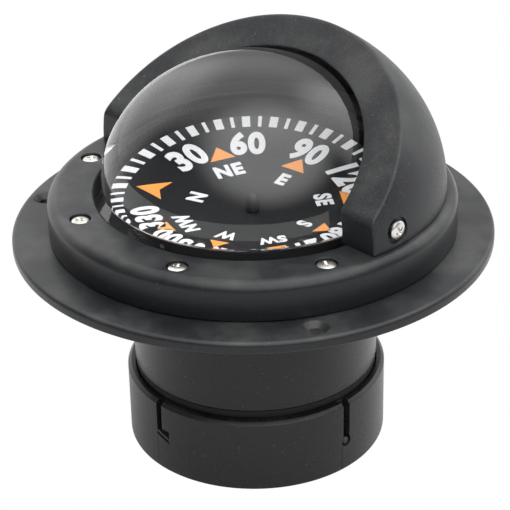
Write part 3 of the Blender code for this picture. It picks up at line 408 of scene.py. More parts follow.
class Effect:
    """A shader node group with named inputs and outputs, built once and placed in many materials."""

    def __init__(self, name: str, inputs: dict[str, float], outputs: dict[str, str]) -> None:
        """Makes the empty group.

        Args:
            name: The group's name.
            inputs: Each value input and what it starts at.
            outputs: Each output and its socket type.
        """
        self.tree = bpy.data.node_groups.new(name, "ShaderNodeTree")
        for word, value in inputs.items():
            made = self.tree.interface.new_socket(name=word, in_out="INPUT", socket_type="NodeSocketFloat")
            made.default_value = value
        for word, kind in outputs.items():
            self.tree.interface.new_socket(name=word, in_out="OUTPUT", socket_type=kind)
        self.source = self.tree.nodes.new("NodeGroupInput")
        self.sink = self.tree.nodes.new("NodeGroupOutput")
        self.place = self.tree.nodes.new("ShaderNodeTexCoord")

    def noise(self, scale: str, detail: float, roughness: float, stretch: Sequence[float] = (1.0, 1.0, 1.0)
              ) -> bpy.types.Node:
        """Noise in the object's own metres.

        Args:
            scale: The group input that gives the grains in each metre.
            detail: Octaves of noise.
            roughness: How much the fine octaves count.
            stretch: How the pattern is drawn out along each axis.

        Returns:
            The noise node.
        """
        mapping = self.tree.nodes.new("ShaderNodeMapping")
        mapping.inputs["Scale"].default_value = stretch
        node = self.tree.nodes.new("ShaderNodeTexNoise")
        node.inputs["Detail"].default_value = detail
        node.inputs["Roughness"].default_value = roughness
        self.join(self.place.outputs["Object"], mapping.inputs["Vector"])
        self.join(mapping.outputs["Vector"], node.inputs["Vector"])
        self.join(self.source.outputs[scale], node.inputs["Scale"])
        return node

    def ramp(self, value: bpy.types.NodeSocket, low: float, high: float) -> bpy.types.NodeSocket:
        """A soft step of a value from low to high.

        Args:
            value: What is stepped.
            low: Where the result is still 0.
            high: Where it reaches 1.

        Returns:
            The stepped value's socket.
        """
        node = self.tree.nodes.new("ShaderNodeMapRange")
        node.interpolation_type = "SMOOTHSTEP"
        node.inputs["From Min"].default_value = low
        node.inputs["From Max"].default_value = high
        self.join(value, node.inputs["Value"])
        return node.outputs["Result"]

    def maths(self, kind: str, first: bpy.types.NodeSocket, second: bpy.types.NodeSocket | float
              ) -> bpy.types.NodeSocket:
        """A sum, product or other operation on two values.

        Args:
            kind: The operation.
            first: The first value.
            second: The second value, a socket or a number.

        Returns:
            The result's socket.
        """
        node = self.tree.nodes.new("ShaderNodeMath")
        node.operation = kind
        self.join(first, node.inputs[0])
        if isinstance(second, float):
            node.inputs[1].default_value = second
        else:
            self.join(second, node.inputs[1])
        return node.outputs[0]

    def join(self, source: bpy.types.NodeSocket, target: bpy.types.NodeSocket) -> None:
        """Links two sockets of the group."""
        self.tree.links.new(source, target)

    def give(self, word: str, value: bpy.types.NodeSocket) -> None:
        """Puts a value on one of the group's outputs."""
        self.join(value, self.sink.inputs[word])


def moulded_grain() -> bpy.types.NodeTree:
    """The pitted skin of moulded plastic: fine grains over slow waves.

    Returns:
        The node group, whose outputs are Height and Speck.
    """
    effect = Effect("moulded_grain", {"Grains": 2600.0, "Waves": 90.0, "Wave Share": 0.2},
                    {"Height": "NodeSocketFloat", "Speck": "NodeSocketFloat"})
    fine = effect.noise("Grains", 3.0, 0.62)
    slow = effect.noise("Waves", 2.0, 0.5)
    share = effect.maths("MULTIPLY", slow.outputs["Fac"], effect.source.outputs["Wave Share"])
    effect.give("Height", effect.maths("ADD", fine.outputs["Fac"], share))
    effect.give("Speck", effect.ramp(fine.outputs["Fac"], 0.38, 0.66))
    return effect.tree


def dust_film() -> bpy.types.NodeTree:
    """Fine dust that settles on upward faces, with a few separate specks.

    Returns:
        The node group, whose output Mask is 1 where dust covers the surface.
    """
    effect = Effect("dust_film", {"Cloud": 60.0, "Specks": 1500.0, "Film": 0.35, "Speck Share": 0.5},
                    {"Mask": "NodeSocketFloat"})
    normal = effect.tree.nodes.new("ShaderNodeSeparateXYZ")
    effect.join(effect.place.outputs["Normal"], normal.inputs["Vector"])
    upward = effect.ramp(normal.outputs["Z"], 0.15, 0.95)
    cloud = effect.ramp(effect.noise("Cloud", 4.0, 0.6).outputs["Fac"], 0.35, 0.75)
    film = effect.maths("MULTIPLY", effect.maths("MULTIPLY", upward, cloud), effect.source.outputs["Film"])
    dots = effect.ramp(effect.noise("Specks", 1.0, 0.4).outputs["Fac"], 0.735, 0.80)
    specks = effect.maths("MULTIPLY", dots, effect.source.outputs["Speck Share"])
    effect.give("Mask", effect.maths("MAXIMUM", film, specks))
    return effect.tree


def edge_rub() -> bpy.types.NodeTree:
    """Paler rubbed edges, broken up by noise.

    Returns:
        The node group, whose output Mask is 1 on the rubbed edges.
    """
    effect = Effect("edge_rub", {"Patches": 220.0, "Amount": 1.0}, {"Mask": "NodeSocketFloat"})
    shape = effect.tree.nodes.new("ShaderNodeNewGeometry")
    edge = effect.ramp(shape.outputs["Pointiness"], 0.52, 0.60)
    patch = effect.ramp(effect.noise("Patches", 3.0, 0.6).outputs["Fac"], 0.25, 0.65)
    worn = effect.maths("MULTIPLY", edge, patch)
    effect.give("Mask", effect.maths("MULTIPLY", worn, effect.source.outputs["Amount"]))
    return effect.tree


def turning_marks() -> bpy.types.NodeTree:
    """Hairline scratches and faint stains on bare metal.

    Returns:
        The node group, whose outputs are Height and Stain.
    """
    effect = Effect("turning_marks", {"Lines": 900.0, "Stains": 260.0},
                    {"Height": "NodeSocketFloat", "Stain": "NodeSocketFloat"})
    lines = effect.noise("Lines", 2.0, 0.5, (1.0, 14.0, 1.0))
    stains = effect.noise("Stains", 3.0, 0.6)
    effect.give("Height", lines.outputs["Fac"])
    effect.give("Stain", effect.ramp(stains.outputs["Fac"], 0.42, 0.72))
    return effect.tree


@dataclass
class Effects:
    """The shared shader effects, built once."""

    grain: bpy.types.NodeTree = field(default_factory=moulded_grain)
    dust: bpy.types.NodeTree = field(default_factory=dust_film)
    rub: bpy.types.NodeTree = field(default_factory=edge_rub)
    marks: bpy.types.NodeTree = field(default_factory=turning_marks)


# ---------------------------------------------------------------- finishes


class Paintwork:
    """One material under construction: its node tree and its Principled shader."""

    def __init__(self, name: str) -> None:
        """Makes a material with a Principled shader.

        Args:
            name: The material's name.
        """
        self.material = bpy.data.materials.new(name)
        self.material.use_nodes = True
        self.tree = self.material.node_tree
        self.shader = self.tree.nodes["Principled BSDF"]

    def set(self, word: str, value: float | Colour) -> None:
        """Sets one of the shader's own sockets."""
        socket = self.shader.inputs[word]
        socket.default_value = (*value, 1.0) if isinstance(value, tuple) else value

    def effect(self, tree: bpy.types.NodeTree, values: dict[str, float]) -> bpy.types.Node:
        """Places a shared effect with its own values.

        Args:
            tree: The effect's group.
            values: The inputs that differ from the group's own.

        Returns:
            The group node.
        """
        node = self.tree.nodes.new("ShaderNodeGroup")
        node.node_tree = tree
        for word, value in values.items():
            node.inputs[word].default_value = value
        return node

    def blend(self, first: bpy.types.NodeSocket | Colour, second: Colour, mask: bpy.types.NodeSocket
              ) -> bpy.types.NodeSocket:
        """A colour that changes to another one under a mask.

        Args:
            first: The colour where the mask is 0.
            second: The colour where it is 1.
            mask: The mask.

        Returns:
            The mixed colour's socket.
        """
        node = self.tree.nodes.new("ShaderNodeMix")
        node.data_type = "RGBA"
        if isinstance(first, tuple):
            node.inputs[6].default_value = (*first, 1.0)
        else:
            self.tree.links.new(first, node.inputs[6])
        node.inputs[7].default_value = (*second, 1.0)
        self.tree.links.new(mask, node.inputs[0])
        return node.outputs[2]

    def spread(self, value: bpy.types.NodeSocket, low: float, high: float) -> bpy.types.NodeSocket:
        """A 0 to 1 value stretched to run from low to high."""
        node = self.tree.nodes.new("ShaderNodeMapRange")
        node.inputs["To Min"].default_value = low
        node.inputs["To Max"].default_value = high
        self.tree.links.new(value, node.inputs["Value"])
        return node.outputs["Result"]

    def bump(self, height: bpy.types.NodeSocket, depth: float) -> None:
        """Feeds a height to the shader's normal.

        Args:
            height: The height, 0 to 1.
            depth: What 1 stands for, in metres.
        """
        node = self.tree.nodes.new("ShaderNodeBump")
        node.inputs["Distance"].default_value = depth
        self.tree.links.new(height, node.inputs["Height"])
        self.link(node.outputs["Normal"], "Normal")

    def link(self, value: bpy.types.NodeSocket, word: str) -> None:
        """Links a value to one of the shader's sockets."""
        self.tree.links.new(value, self.shader.inputs[word])


@dataclass(frozen=True)
class MouldedPlastic:
    """Black or tinted moulded plastic with its grain, a dust film and rubbed edges."""

    name: str
    colour: Colour
    pale: Colour
    roughness: float
    grains: float = 2600.0
    depth: float = 0.02 * MM
    film: float = 0.2
    specks: float = 0.4
    rub: float = 0.6
    shine: float = 0.3
    dust_colour: Colour = (0.30, 0.30, 0.29)
    rubbed_pale: float = 2.2
    smoother: float = 0.05
    rougher: float = 0.07

    def make(self, effects: Effects) -> bpy.types.Material:
        """Builds the material.

        Args:
            effects: The shared effects.

        Returns:
            The material.
        """
        work = Paintwork(self.name)
        grain = work.effect(effects.grain, {"Grains": self.grains})
        dust = work.effect(effects.dust, {"Film": self.film, "Speck Share": self.specks})
        rub = work.effect(effects.rub, {"Amount": self.rub})
        base = work.blend(self.colour, self.pale, grain.outputs["Speck"])
        rubbed = work.blend(base, tuple(self.rubbed_pale * c for c in self.pale), rub.outputs["Mask"])
        work.link(work.blend(rubbed, self.dust_colour, dust.outputs["Mask"]), "Base Color")
        smooth, rough = self.roughness - self.smoother, self.roughness + self.rougher
        work.link(work.spread(grain.outputs["Speck"], smooth, rough), "Roughness")
        work.bump(grain.outputs["Height"], self.depth)
        work.set("Specular IOR Level", self.shine)
        return work.material


@dataclass(frozen=True)
class BareMetal:
    """Turned or cast metal with hairlines and faint stains."""

    name: str
    colour: Colour
    stain: Colour
    roughness: float
    depth: float = 0.01 * MM

    def make(self, effects: Effects) -> bpy.types.Material:
        """Builds the material.

        Args:
            effects: The shared effects.

        Returns:
            The material.
        """
        work = Paintwork(self.name)
        work.set("Metallic", 1.0)
        marks = work.effect(effects.marks, {})
        work.link(work.blend(self.colour, self.stain, marks.outputs["Stain"]), "Base Color")
        work.link(work.spread(marks.outputs["Stain"], self.roughness, self.roughness + 0.18), "Roughness")
        work.bump(marks.outputs["Height"], self.depth)
        return work.material


@dataclass(frozen=True)
class PrintedInk:
    """Screen-printed ink with a faint unevenness."""

    name: str
    colour: Colour
    thin: Colour
    roughness: float = 0.55

    def make(self, effects: Effects) -> bpy.types.Material:
        """Builds the material.

        Args:
            effects: The shared effects.

        Returns:
            The material.
        """
        work = Paintwork(self.name)
        grain = work.effect(effects.grain, {"Grains": 4200.0})
        work.link(work.blend(self.thin, self.colour, grain.outputs["Speck"]), "Base Color")
        work.link(work.spread(grain.outputs["Speck"], self.roughness, self.roughness + 0.1), "Roughness")
        return work.material


@dataclass(frozen=True)
class TintedJewel:
    """Polished stone or lamp glass, tinted through."""

    name: str
    colour: Colour
    deep: Colour
    roughness: float = 0.08

    def make(self, effects: Effects) -> bpy.types.Material:
        """Builds the material.

        Args:
            effects: The shared effects.

        Returns:
            The material.
        """
        work = Paintwork(self.name)
        work.set("Coat Weight", 0.6)
        grain = work.effect(effects.grain, {"Grains": 500.0})
        work.link(work.blend(self.deep, self.colour, grain.outputs["Speck"]), "Base Color")
        work.link(work.spread(grain.outputs["Speck"], self.roughness, self.roughness + 0.1), "Roughness")
        return work.material


@dataclass(frozen=True)
class ClearAcrylic:
    """The dome's outer skin, which bends light as the acrylic and the liquid behind it do together."""

    name: str
    index: float = 1.51
    shine: float = 0.8
    roughness: float = 0.0
    tint: Colour = (0.985, 0.99, 0.99)

    def make(self, effects: Effects) -> bpy.types.Material:
        """Builds the material; lamps' light passes straight through it.

        Args:
            effects: The shared effects.

        Returns:
            The material.
        """
        work = Paintwork(self.name)
        work.set("Transmission Weight", 1.0)
        work.set("IOR", self.index)
        work.set("Specular IOR Level", self.shine)
        dust = work.effect(effects.dust, {"Film": 0.0, "Speck Share": 0.2, "Specks": 900.0})
        work.link(work.blend(self.tint, (0.90, 0.91, 0.91), dust.outputs["Mask"]), "Base Color")
        work.link(work.spread(dust.outputs["Mask"], self.roughness, 0.05), "Roughness")
        pass_light(work)
        return work.material


def pass_light(work: Paintwork) -> None:
    """Lets shadow and diffuse rays through a glass material.

    Args:
        work: The material, whose shader is mixed with a transparent one.
    """
    nodes = work.tree.nodes
    path = nodes.new("ShaderNodeLightPath")
    either = nodes.new("ShaderNodeMath")
    either.operation = "MAXIMUM"
    clear = nodes.new("ShaderNodeBsdfTransparent")
    mix = nodes.new("ShaderNodeMixShader")
    output = nodes["Material Output"]
    work.tree.links.new(path.outputs["Is Shadow Ray"], either.inputs[0])
    work.tree.links.new(path.outputs["Is Diffuse Ray"], either.inputs[1])
    work.tree.links.new(either.outputs[0], mix.inputs["Fac"])
    work.tree.links.new(work.shader.outputs["BSDF"], mix.inputs[1])
    work.tree.links.new(clear.outputs["BSDF"], mix.inputs[2])
    work.tree.links.new(mix.outputs["Shader"], output.inputs["Surface"])


@dataclass(frozen=True)
class WettedSkin:
    """The dome's inner skin, which can't be seen because the liquid bends light as acrylic does."""

    name: str

    def make(self, effects: Effects) -> bpy.types.Material:
        """Builds the material.

        Args:
            effects: The shared effects, which this one doesn't use.

        Returns:
            The material.
        """
        work = Paintwork(self.name)
        clear = work.tree.nodes.new("ShaderNodeBsdfTransparent")
        work.tree.links.new(clear.outputs["BSDF"], work.tree.nodes["Material Output"].inputs["Surface"])
        work.tree.nodes.remove(work.shader)
        return work.material


FINISHES = {
    Slot.HARD_PLASTIC: MouldedPlastic("hard_plastic", (0.0085, 0.0092, 0.0104), (0.0122, 0.0130, 0.0145),
                                      0.34, 2400.0, 0.016 * MM, 0.10, 0.22, 0.45),
    Slot.HOOD_PLASTIC: MouldedPlastic("hood_plastic", (0.0085, 0.0092, 0.0104), (0.019, 0.020, 0.0222), 0.42,
                                      1500.0, 0.045 * MM, 0.10, 0.25, 0.45),
    Slot.CAN_PLASTIC: MouldedPlastic("can_plastic", (0.0085, 0.0088, 0.0092), (0.012, 0.0123, 0.0127), 0.30,
                                     2800.0, 0.008 * MM, 0.05, 0.30, 0.5),
    Slot.INNER_PLASTIC: MouldedPlastic("inner_plastic", (0.006, 0.006, 0.007), (0.010, 0.010, 0.011), 0.50,
                                       2600.0, 0.010 * MM, 0.0, 0.0, 0.0),
    Slot.RUBBER: MouldedPlastic("rubber", (0.006, 0.006, 0.006), (0.010, 0.010, 0.010), 0.82,
                                1800.0, 0.020 * MM, 0.05, 0.1, 0.0),
    Slot.CARD_BLACK: MouldedPlastic("card_black", (0.011, 0.0115, 0.0125), (0.013, 0.0135, 0.0145), 0.40,
                                    3000.0, 0.0008 * MM, 0.0, 0.0, 0.0),
    Slot.FLOAT_PLASTIC: MouldedPlastic("float_plastic", (0.42, 0.42, 0.40), (0.48, 0.48, 0.46), 0.55,
                                       1200.0, 0.010 * MM, 0.0, 0.0, 0.2),
    Slot.WHITE_PLASTIC: MouldedPlastic("white_plastic", (0.74, 0.74, 0.72), (0.80, 0.80, 0.78), 0.42,
                                       2000.0, 0.006 * MM, 0.0, 0.0, 0.1),
    Slot.STAINLESS: BareMetal("stainless", (0.70, 0.69, 0.66), (0.46, 0.44, 0.40), 0.24),
    Slot.BRASS: BareMetal("brass", (0.72, 0.52, 0.24), (0.45, 0.30, 0.13), 0.30),
    Slot.MAGNET: BareMetal("magnet", (0.32, 0.32, 0.33), (0.20, 0.20, 0.21), 0.38),
    Slot.LEAD: BareMetal("lead", (0.24, 0.24, 0.25), (0.15, 0.15, 0.16), 0.52, 0.03 * MM),
    Slot.JEWEL: TintedJewel("jewel", (0.40, 0.04, 0.09), (0.22, 0.02, 0.05)),
    Slot.LAMP_RED: TintedJewel("lamp_red", (0.62, 0.05, 0.03), (0.40, 0.03, 0.02), 0.12),
    Slot.CLEAR_ACRYLIC: ClearAcrylic("clear_acrylic"),
}
WHITE_INK = PrintedInk("white_ink", (0.80, 0.81, 0.82), (0.66, 0.67, 0.69))
ORANGE_INK = PrintedInk("orange_ink", (0.86, 0.34, 0.075), (0.76, 0.28, 0.06))
WETTED_SKIN = WettedSkin("wetted_skin")


class Workshop:
    """The effects, the finishes and the way that a finished piece joins the compass."""

    def __init__(self) -> None:
        """Builds the shared effects and every finish."""
        self.effects = Effects()
        self.looks = {slot: finish.make(self.effects) for slot, finish in FINISHES.items()}
        self.white_ink = WHITE_INK.make(self.effects)
        self.orange_ink = ORANGE_INK.make(self.effects)
        self.wetted_skin = WETTED_SKIN.make(self.effects)

    def dress(self, piece: bpy.types.Object, slot: Slot, material: bpy.types.Material | None = None) -> None:
        """Gives a piece its material, its own or its slot's.

        Args:
            piece: The piece.
            slot: The record's slot that it takes its finish from.
            material: A material of its own, or None for the slot's.
        """
        look = material or self.looks[slot]
        if piece.data.materials:
            piece.data.materials[0] = look
        else:
            piece.data.materials.append(look)

    def fit(self, piece: bpy.types.Object, slot: Slot, body: Body, replaces: Sequence[str] = (),
            material: bpy.types.Material | None = None) -> bpy.types.Object:
        """Dresses a piece, puts it on its body and hides the CAD nodes that it stands for.

        Args:
            piece: The piece.
            slot: The record's slot.
            body: The body that it rides on.
            replaces: The CAD nodes that it stands for.
            material: A material of its own, or None for the slot's.

        Returns:
            The piece.
        """
        self.dress(piece, slot, material)
        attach(piece, body.value)
        if replaces:
            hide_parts(*replaces)
        LOG.info("%s rides on %s, %d faces", piece.name, body.value, len(piece.data.polygons))
        return piece

    def dress_node(self, node: str, slot: Slot) -> None:
        """Gives a CAD node that stays its procedural material."""
        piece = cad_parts[node]
        for place in piece.material_slots:
            place.link = "OBJECT"
            place.material = self.looks[slot]
        LOG.info("%s keeps its CAD shape in %s", node, slot.value)


# ---------------------------------------------------------------- screws


@dataclass
class PanScrew:
    """A cross-recessed pan-head screw of stainless steel."""

    head_radius: float = 2.85 * MM
    head_height: float = 1.5 * MM
    shank_radius: float = 1.45 * MM
    length: float = 6.0 * MM
    cross_length: float = 3.1 * MM
    cross_width: float = 0.62 * MM
    cross_depth: float = 0.95 * MM
    edge: float = 0.22 * MM

    def profile(self) -> list[Point]:
        """The section from the crown, at level 0, down to the tip."""
        head = self.head_height
        side = 0.52 * head
        crown = arc(self.head_radius, side, (0.0, -side), 90.0, 12.0, 9)
        crown[0] = (0.0, 0.0)
        under = [(self.head_radius, -side - self.edge), (self.head_radius, -head + self.edge),
                 (self.head_radius - self.edge, -head), (self.shank_radius, -head)]
        tip = -head - self.length
        shank = [(self.shank_radius, tip + self.shank_radius), (0.5 * self.shank_radius, tip), (0.0, tip)]
        return crown + under + shank

    def cross(self, place: Matrix) -> list[bpy.types.Object]:
        """The two tapering blades that press the recess.

        Args:
            place: The screw's own frame.

        Returns:
            The two cutters.
        """
        blades = []
        half = self.cross_length / 2.0
        outline = [(-half - self.edge, self.cross_depth), (half + self.edge, self.cross_depth), (half, 0.0),
                   (0.35 * half, -self.cross_depth), (-0.35 * half, -self.cross_depth), (-half, 0.0)]
        stand = Matrix(((1.0, 0.0, 0.0), (0.0, 0.0, -1.0), (0.0, 1.0, 0.0))).to_4x4()
        for i in range(2):
            turn = Matrix.Rotation(math.pi / 2.0 * i, 4, "Z")
            blades.append(prism(f"blade_{i}", outline, self.cross_width, place @ turn @ stand))
        return blades

    def make(self, name: str, crown: Vector, outward: Vector, turn: float) -> bpy.types.Object:
        """Builds one screw.

        Args:
            name: The piece's name.
            crown: Where the top of its head lies.
            outward: Where its head points.
            turn: How far it is screwed round, in degrees.

        Returns:
            The screw.
        """
        lean = UP.rotation_difference(outward).to_matrix().to_4x4()
        place = Matrix.Translation(crown) @ lean @ Matrix.Rotation(math.radians(turn), 4, "Z")
        screw = turned(name, self.profile(), SMALL, False, place)
        return carve(screw, self.cross(place))


# ---------------------------------------------------------------- flange and bezel


@dataclass
class MountingFlange:
    """The round flange that lies on the dashboard, with three countersunk holes."""

    extent: Extent = field(default_factory=lambda: Extent.of("mounting_flange"))
    seat: float = 44.5 * MM
    bore: float = 37.9 * MM
    ledge: float = 1.8 * MM
    rim_round: float = 1.3 * MM
    under_round: float = 0.5 * MM
    holes: int = 3
    first_angle: float = 60.0
    hole_circle: float = 66.5 * MM
    hole_radius: float = 2.2 * MM
    head_radius: float = 3.7 * MM
    edge: float = 0.12 * MM

    def section(self) -> list[Point]:
        """The flange's section, from the seat's top outwards and round."""
        top = self.extent.high
        low = self.extent.low
        rim = self.extent.radius
        corners = [(self.seat, top), (rim, top), (rim, low), (self.bore, low), (self.bore, top - self.ledge),
                   (self.seat, top - self.ledge)]
        return rounded(corners, [0.0, self.rim_round, self.under_round, 0.1 * MM, 0.0, 0.0], 8)

    def sink(self) -> list[Point]:
        """The section of one countersunk hole, with a softened mouth."""
        head = self.head_radius
        deep = head - self.hole_radius
        return [(0.0, 1.0 * MM), (head + 2.5 * self.edge, 1.0 * MM), (head + 2.5 * self.edge, 0.0),
                (head + self.edge, -0.25 * self.edge), (head, -self.edge),
                (self.hole_radius, -deep - self.edge), (self.hole_radius, -6.0 * MM), (0.0, -6.0 * MM)]

    def build(self, shop: Workshop) -> None:
        """Builds the flange and fits it to the housing."""
        flange = turned("flange_shell", self.section())
        cutters = []
        for i in range(self.holes):
            spot = around(self.first_angle + FULL_TURN / self.holes * i, self.hole_circle, self.extent.high)
            cutters.append(turned(f"sink_{i}", self.sink(), MEDIUM, False, Matrix.Translation(spot)))
        carve(flange, cutters)
        shop.fit(flange, Slot.HARD_PLASTIC, Body.HOUSING, ["mounting_flange"])


@dataclass
class BezelRing:
    """The heavy ring that clamps the dome, with its eight seated screws."""

    extent: Extent = field(default_factory=lambda: Extent.of("bezel_ring"))
    top: float = field(default_factory=lambda: Extent.of("hood").low - FIT)
    lip: Extent = field(default_factory=lambda: Extent.of("dome_gasket"))
    clamp_level: float = 77.2 * MM
    bore: float = 47.3 * MM
    top_round: float = 3.4 * MM
    bore_round: float = 0.8 * MM
    foot_round: float = 0.35 * MM
    screws: int = 8
    screw_circle: float = 53.9 * MM
    seat_radius: float = 3.15 * MM
    seat_depth: float = 1.9 * MM
    seat_edge: float = 0.12 * MM
    crown_drop: float = 0.1 * MM

    def section(self) -> list[Point]:
        """The ring's section, from its top's outer corner round."""
        relief = self.lip.radius + FIT
        low = self.extent.low
        rim = self.extent.radius
        corners = [(rim, self.top), (rim, low), (relief, low), (relief, self.clamp_level),
                   (self.bore, self.clamp_level), (self.bore, self.top)]
        return rounded(corners, [self.top_round, self.foot_round, 0.0, 0.0, 0.2 * MM, self.bore_round], 9)

    def seat(self) -> list[Point]:
        """The section of one screw's seat, with a softened mouth."""
        radius = self.seat_radius
        edge = self.seat_edge
        return [(0.0, 1.0 * MM), (radius + 2.0 * edge, 1.0 * MM), (radius + 2.0 * edge, 0.0),
                (radius + 0.6 * edge, -0.4 * edge), (radius, -1.2 * edge), (radius, -self.seat_depth),
                (0.0, -self.seat_depth)]

    def angles(self) -> list[float]:
        """The screws' places round the ring."""
        step = FULL_TURN / self.screws
        return [step / 2.0 + step * i for i in range(self.screws)]

    def build(self, shop: Workshop) -> None:
        """Builds the ring and its screws."""
        ring = turned("bezel_shell", self.section())
        spots = [around(angle, self.screw_circle, self.top) for angle in self.angles()]
        seats = [turned(f"seat_{i}", self.seat(), MEDIUM, False, Matrix.Translation(spot))
                 for i, spot in enumerate(spots)]
        carve(ring, seats)
        shop.fit(ring, Slot.HARD_PLASTIC, Body.HOUSING, ["bezel_ring"])
        screw = PanScrew(length=10.0 * MM)
        turns = (20.0, 64.0, 38.0, 71.0, 8.0, 50.0, 33.0, 80.0)
        for i, spot in enumerate(spots):
            crown = spot - UP * self.crown_drop
            made = screw.make(f"bezel_pan_screw_{i + 1}", crown, UP, turns[i % len(turns)])
            shop.fit(made, Slot.STAINLESS, Body.HOUSING, [f"bezel_screw_{i + 1}"])


# ---------------------------------------------------------------- hood


@dataclass
class SunHood:
    """The fixed sun hood over the far half of the dome.

    Its two skins are ellipsoids, seen from the centre of its base as distance along each direction.
    """

    extent: Extent = field(default_factory=lambda: Extent.of("hood"))
    dome: Extent = field(default_factory=lambda: Extent.of("dome"))
    outer_drop: float = 0.3 * MM
    crown: float = 11.5 * MM
    clearance: float = 0.9 * MM
    dome_radius: float = 45.0 * MM
    dome_level: float = 84.8 * MM
    front: float = 9.3 * MM
    knee_level: float = 92.8 * MM
    knee_round: float = 1.6 * MM
    slope: float = 1.27
    edge_round: float = 0.75 * MM
    inner_edge_round: float = 0.45 * MM
    lines: int = 220
    crowding: float = 0.88
    outer_steps: int = 44
    inner_steps: int = 30
    face_steps: int = 12
    round_steps: int = 5
    screw_level: float = 87.8 * MM
    recess_radius: float = 3.9 * MM
    recess_floor: float = 56.6 * MM

    def front_at(self, level: float) -> float:
        """How far back the front face lies at a level, with the knee rounded."""
        past = level - self.knee_level
        if past <= -self.knee_round:
            return -self.front
        if past >= self.knee_round:
            return -self.front + self.slope * past
        return -self.front + self.slope * (past + self.knee_round) ** 2 / (4.0 * self.knee_round)

    def skin(self, outer: bool) -> tuple[float, float, float]:
        """The radius, rise and centre level of a skin's ellipsoid."""
        if outer:
            centre = self.extent.low - self.outer_drop
            return self.extent.radius, self.dome.high + self.crown - centre, centre
        rise = self.dome.high - self.dome_level + self.clearance
        return self.dome_radius + self.clearance, rise, self.dome_level

    def excess(self, point: Vector, outer: bool) -> float:
        """Below 0 inside a skin and above 0 outside it."""
        radius, rise, centre = self.skin(outer)
        lift = (point.z - centre) / rise
        if not outer:
            lift = max(lift, 0.0)
        return (point.x ** 2 + point.y ** 2) / radius ** 2 + lift ** 2 - 1.0

    def search(self, path: Callable[[float], Vector], outer: bool) -> float:
        """How far along a path it leaves a skin.

        Args:
            path: Gives the point at a distance.
            outer: Which skin.

        Returns:
            The distance where the path crosses the skin.
        """
        low, high = 0.0, 2.0 * self.extent.radius
        for _ in range(44):
            middle = (low + high) / 2.0
            if self.excess(path(middle), outer) < 0.0:
                low = middle
            else:
                high = middle
        return (low + high) / 2.0

    def edge_point(self, turn: float, outer: bool) -> Vector:
        """The front face's edge at an angle from +X over the top, in degrees."""
        across, lift = math.cos(math.radians(turn)), math.sin(math.radians(turn))

        def path(reach: float) -> Vector:
            """The point of the front face's plane at a distance from the middle of the base."""
            level = self.extent.low + reach * lift
            return Vector((reach * across, self.front_at(level), level))

        return path(self.search(path, outer))

    def on_skin(self, direction: Vector, outer: bool) -> Vector:
        """The point of a skin in a direction from the centre of the base."""
        centre = UP * self.extent.low
        return centre + direction * self.search(lambda reach: centre + direction * reach, outer)

    def skin_path(self, turn: float, outer: bool, steps: int, inset: float) -> list[Vector]:
        """Points of a skin from just behind its front edge down to the base behind.

        Args:
            turn: The front edge's angle in degrees.
            outer: Which skin.
            steps: Chords along the path.
            inset: How far behind the front edge it starts.

        Returns:
            The points, front first.
        """
        centre = UP * self.extent.low
        edge = self.edge_point(turn, outer)
        start = self.edge_point(0.0, outer) - centre
        first = math.degrees(math.atan2(start.x, -start.y))
        share = turn / 180.0
        share += 0.5 * math.sin(math.tau * share) / math.tau
        angle = first + (FULL_TURN - 2.0 * first) * share
        base = around(angle, 1.0)
        ahead = (edge - centre).normalized()
        swing = ahead.angle(base)
        length = swing * (edge - centre).length
        if length < 1e-7:
            return [edge.copy() for _ in range(steps + 1)]
        begin = min(inset / length, 0.4)
        points = []
        for i in range(steps + 1):
            part = begin + (1.0 - begin) * i / steps
            mixed = (ahead * math.sin((1.0 - part) * swing) + base * math.sin(part * swing)) / math.sin(swing)
            points.append(self.on_skin(mixed, outer))
        points[-1].z = self.extent.low
        return points

    def face_path(self, turn: float) -> list[Vector]:
        """Points across the front face from near its outer edge to near its inner one."""
        outer = self.edge_point(turn, True)
        inner = self.edge_point(turn, False)
        width = math.hypot(outer.x - inner.x, outer.z - inner.z)
        start = self.edge_round / width
        end = 1.0 - self.inner_edge_round / width
        points = []
        for i in range(self.face_steps + 1):
            part = start + (end - start) * i / self.face_steps
            level = outer.z + (inner.z - outer.z) * part
            points.append(Vector((outer.x + (inner.x - outer.x) * part, self.front_at(level), level)))
        return points

    def rounding(self, first: Vector, corner: Vector, last: Vector) -> list[Vector]:
        """Points of the round between two faces, without its ends."""
        points = []
        for i in range(1, self.round_steps):
            part = i / self.round_steps
            points.append(first * (1.0 - part) ** 2 + corner * (2.0 * part * (1.0 - part)) + last * part ** 2)
        return points

    def ring(self, turn: float) -> list[Vector]:
        """One closed section of the hood: up its outer skin, across the face and down its inner skin."""
        outer = self.skin_path(turn, True, self.outer_steps, self.edge_round)
        inner = self.skin_path(turn, False, self.inner_steps, self.inner_edge_round)
        face = self.face_path(turn)
        top_round = self.rounding(outer[0], self.edge_point(turn, True), face[0])
        low_round = self.rounding(face[-1], self.edge_point(turn, False), inner[0])
        return outer[::-1] + top_round + face + low_round + inner

    def recess(self, side: float) -> bpy.types.Object:
        """The cutter of one side screw's recess, with a softened mouth."""
        wall = self.extent.radius
        edge = 0.25 * MM
        lean = UP.rotation_difference(Vector((side, 0.0, 0.0))).to_matrix().to_4x4()
        place = Matrix.Translation(UP * self.screw_level) @ lean
        radius = self.recess_radius
        mouth = wall - 0.3 * MM
        profile = [(0.0, wall + 2.0 * MM), (radius + 3.0 * edge, wall + 2.0 * MM),
                   (radius + 1.5 * edge, mouth), (radius + 0.4 * edge, mouth - 0.35 * MM),
                   (radius, mouth - 0.8 * MM),
                   (radius, self.recess_floor), (0.0, self.recess_floor)]
        return turned("recess", profile, MEDIUM, False, place)

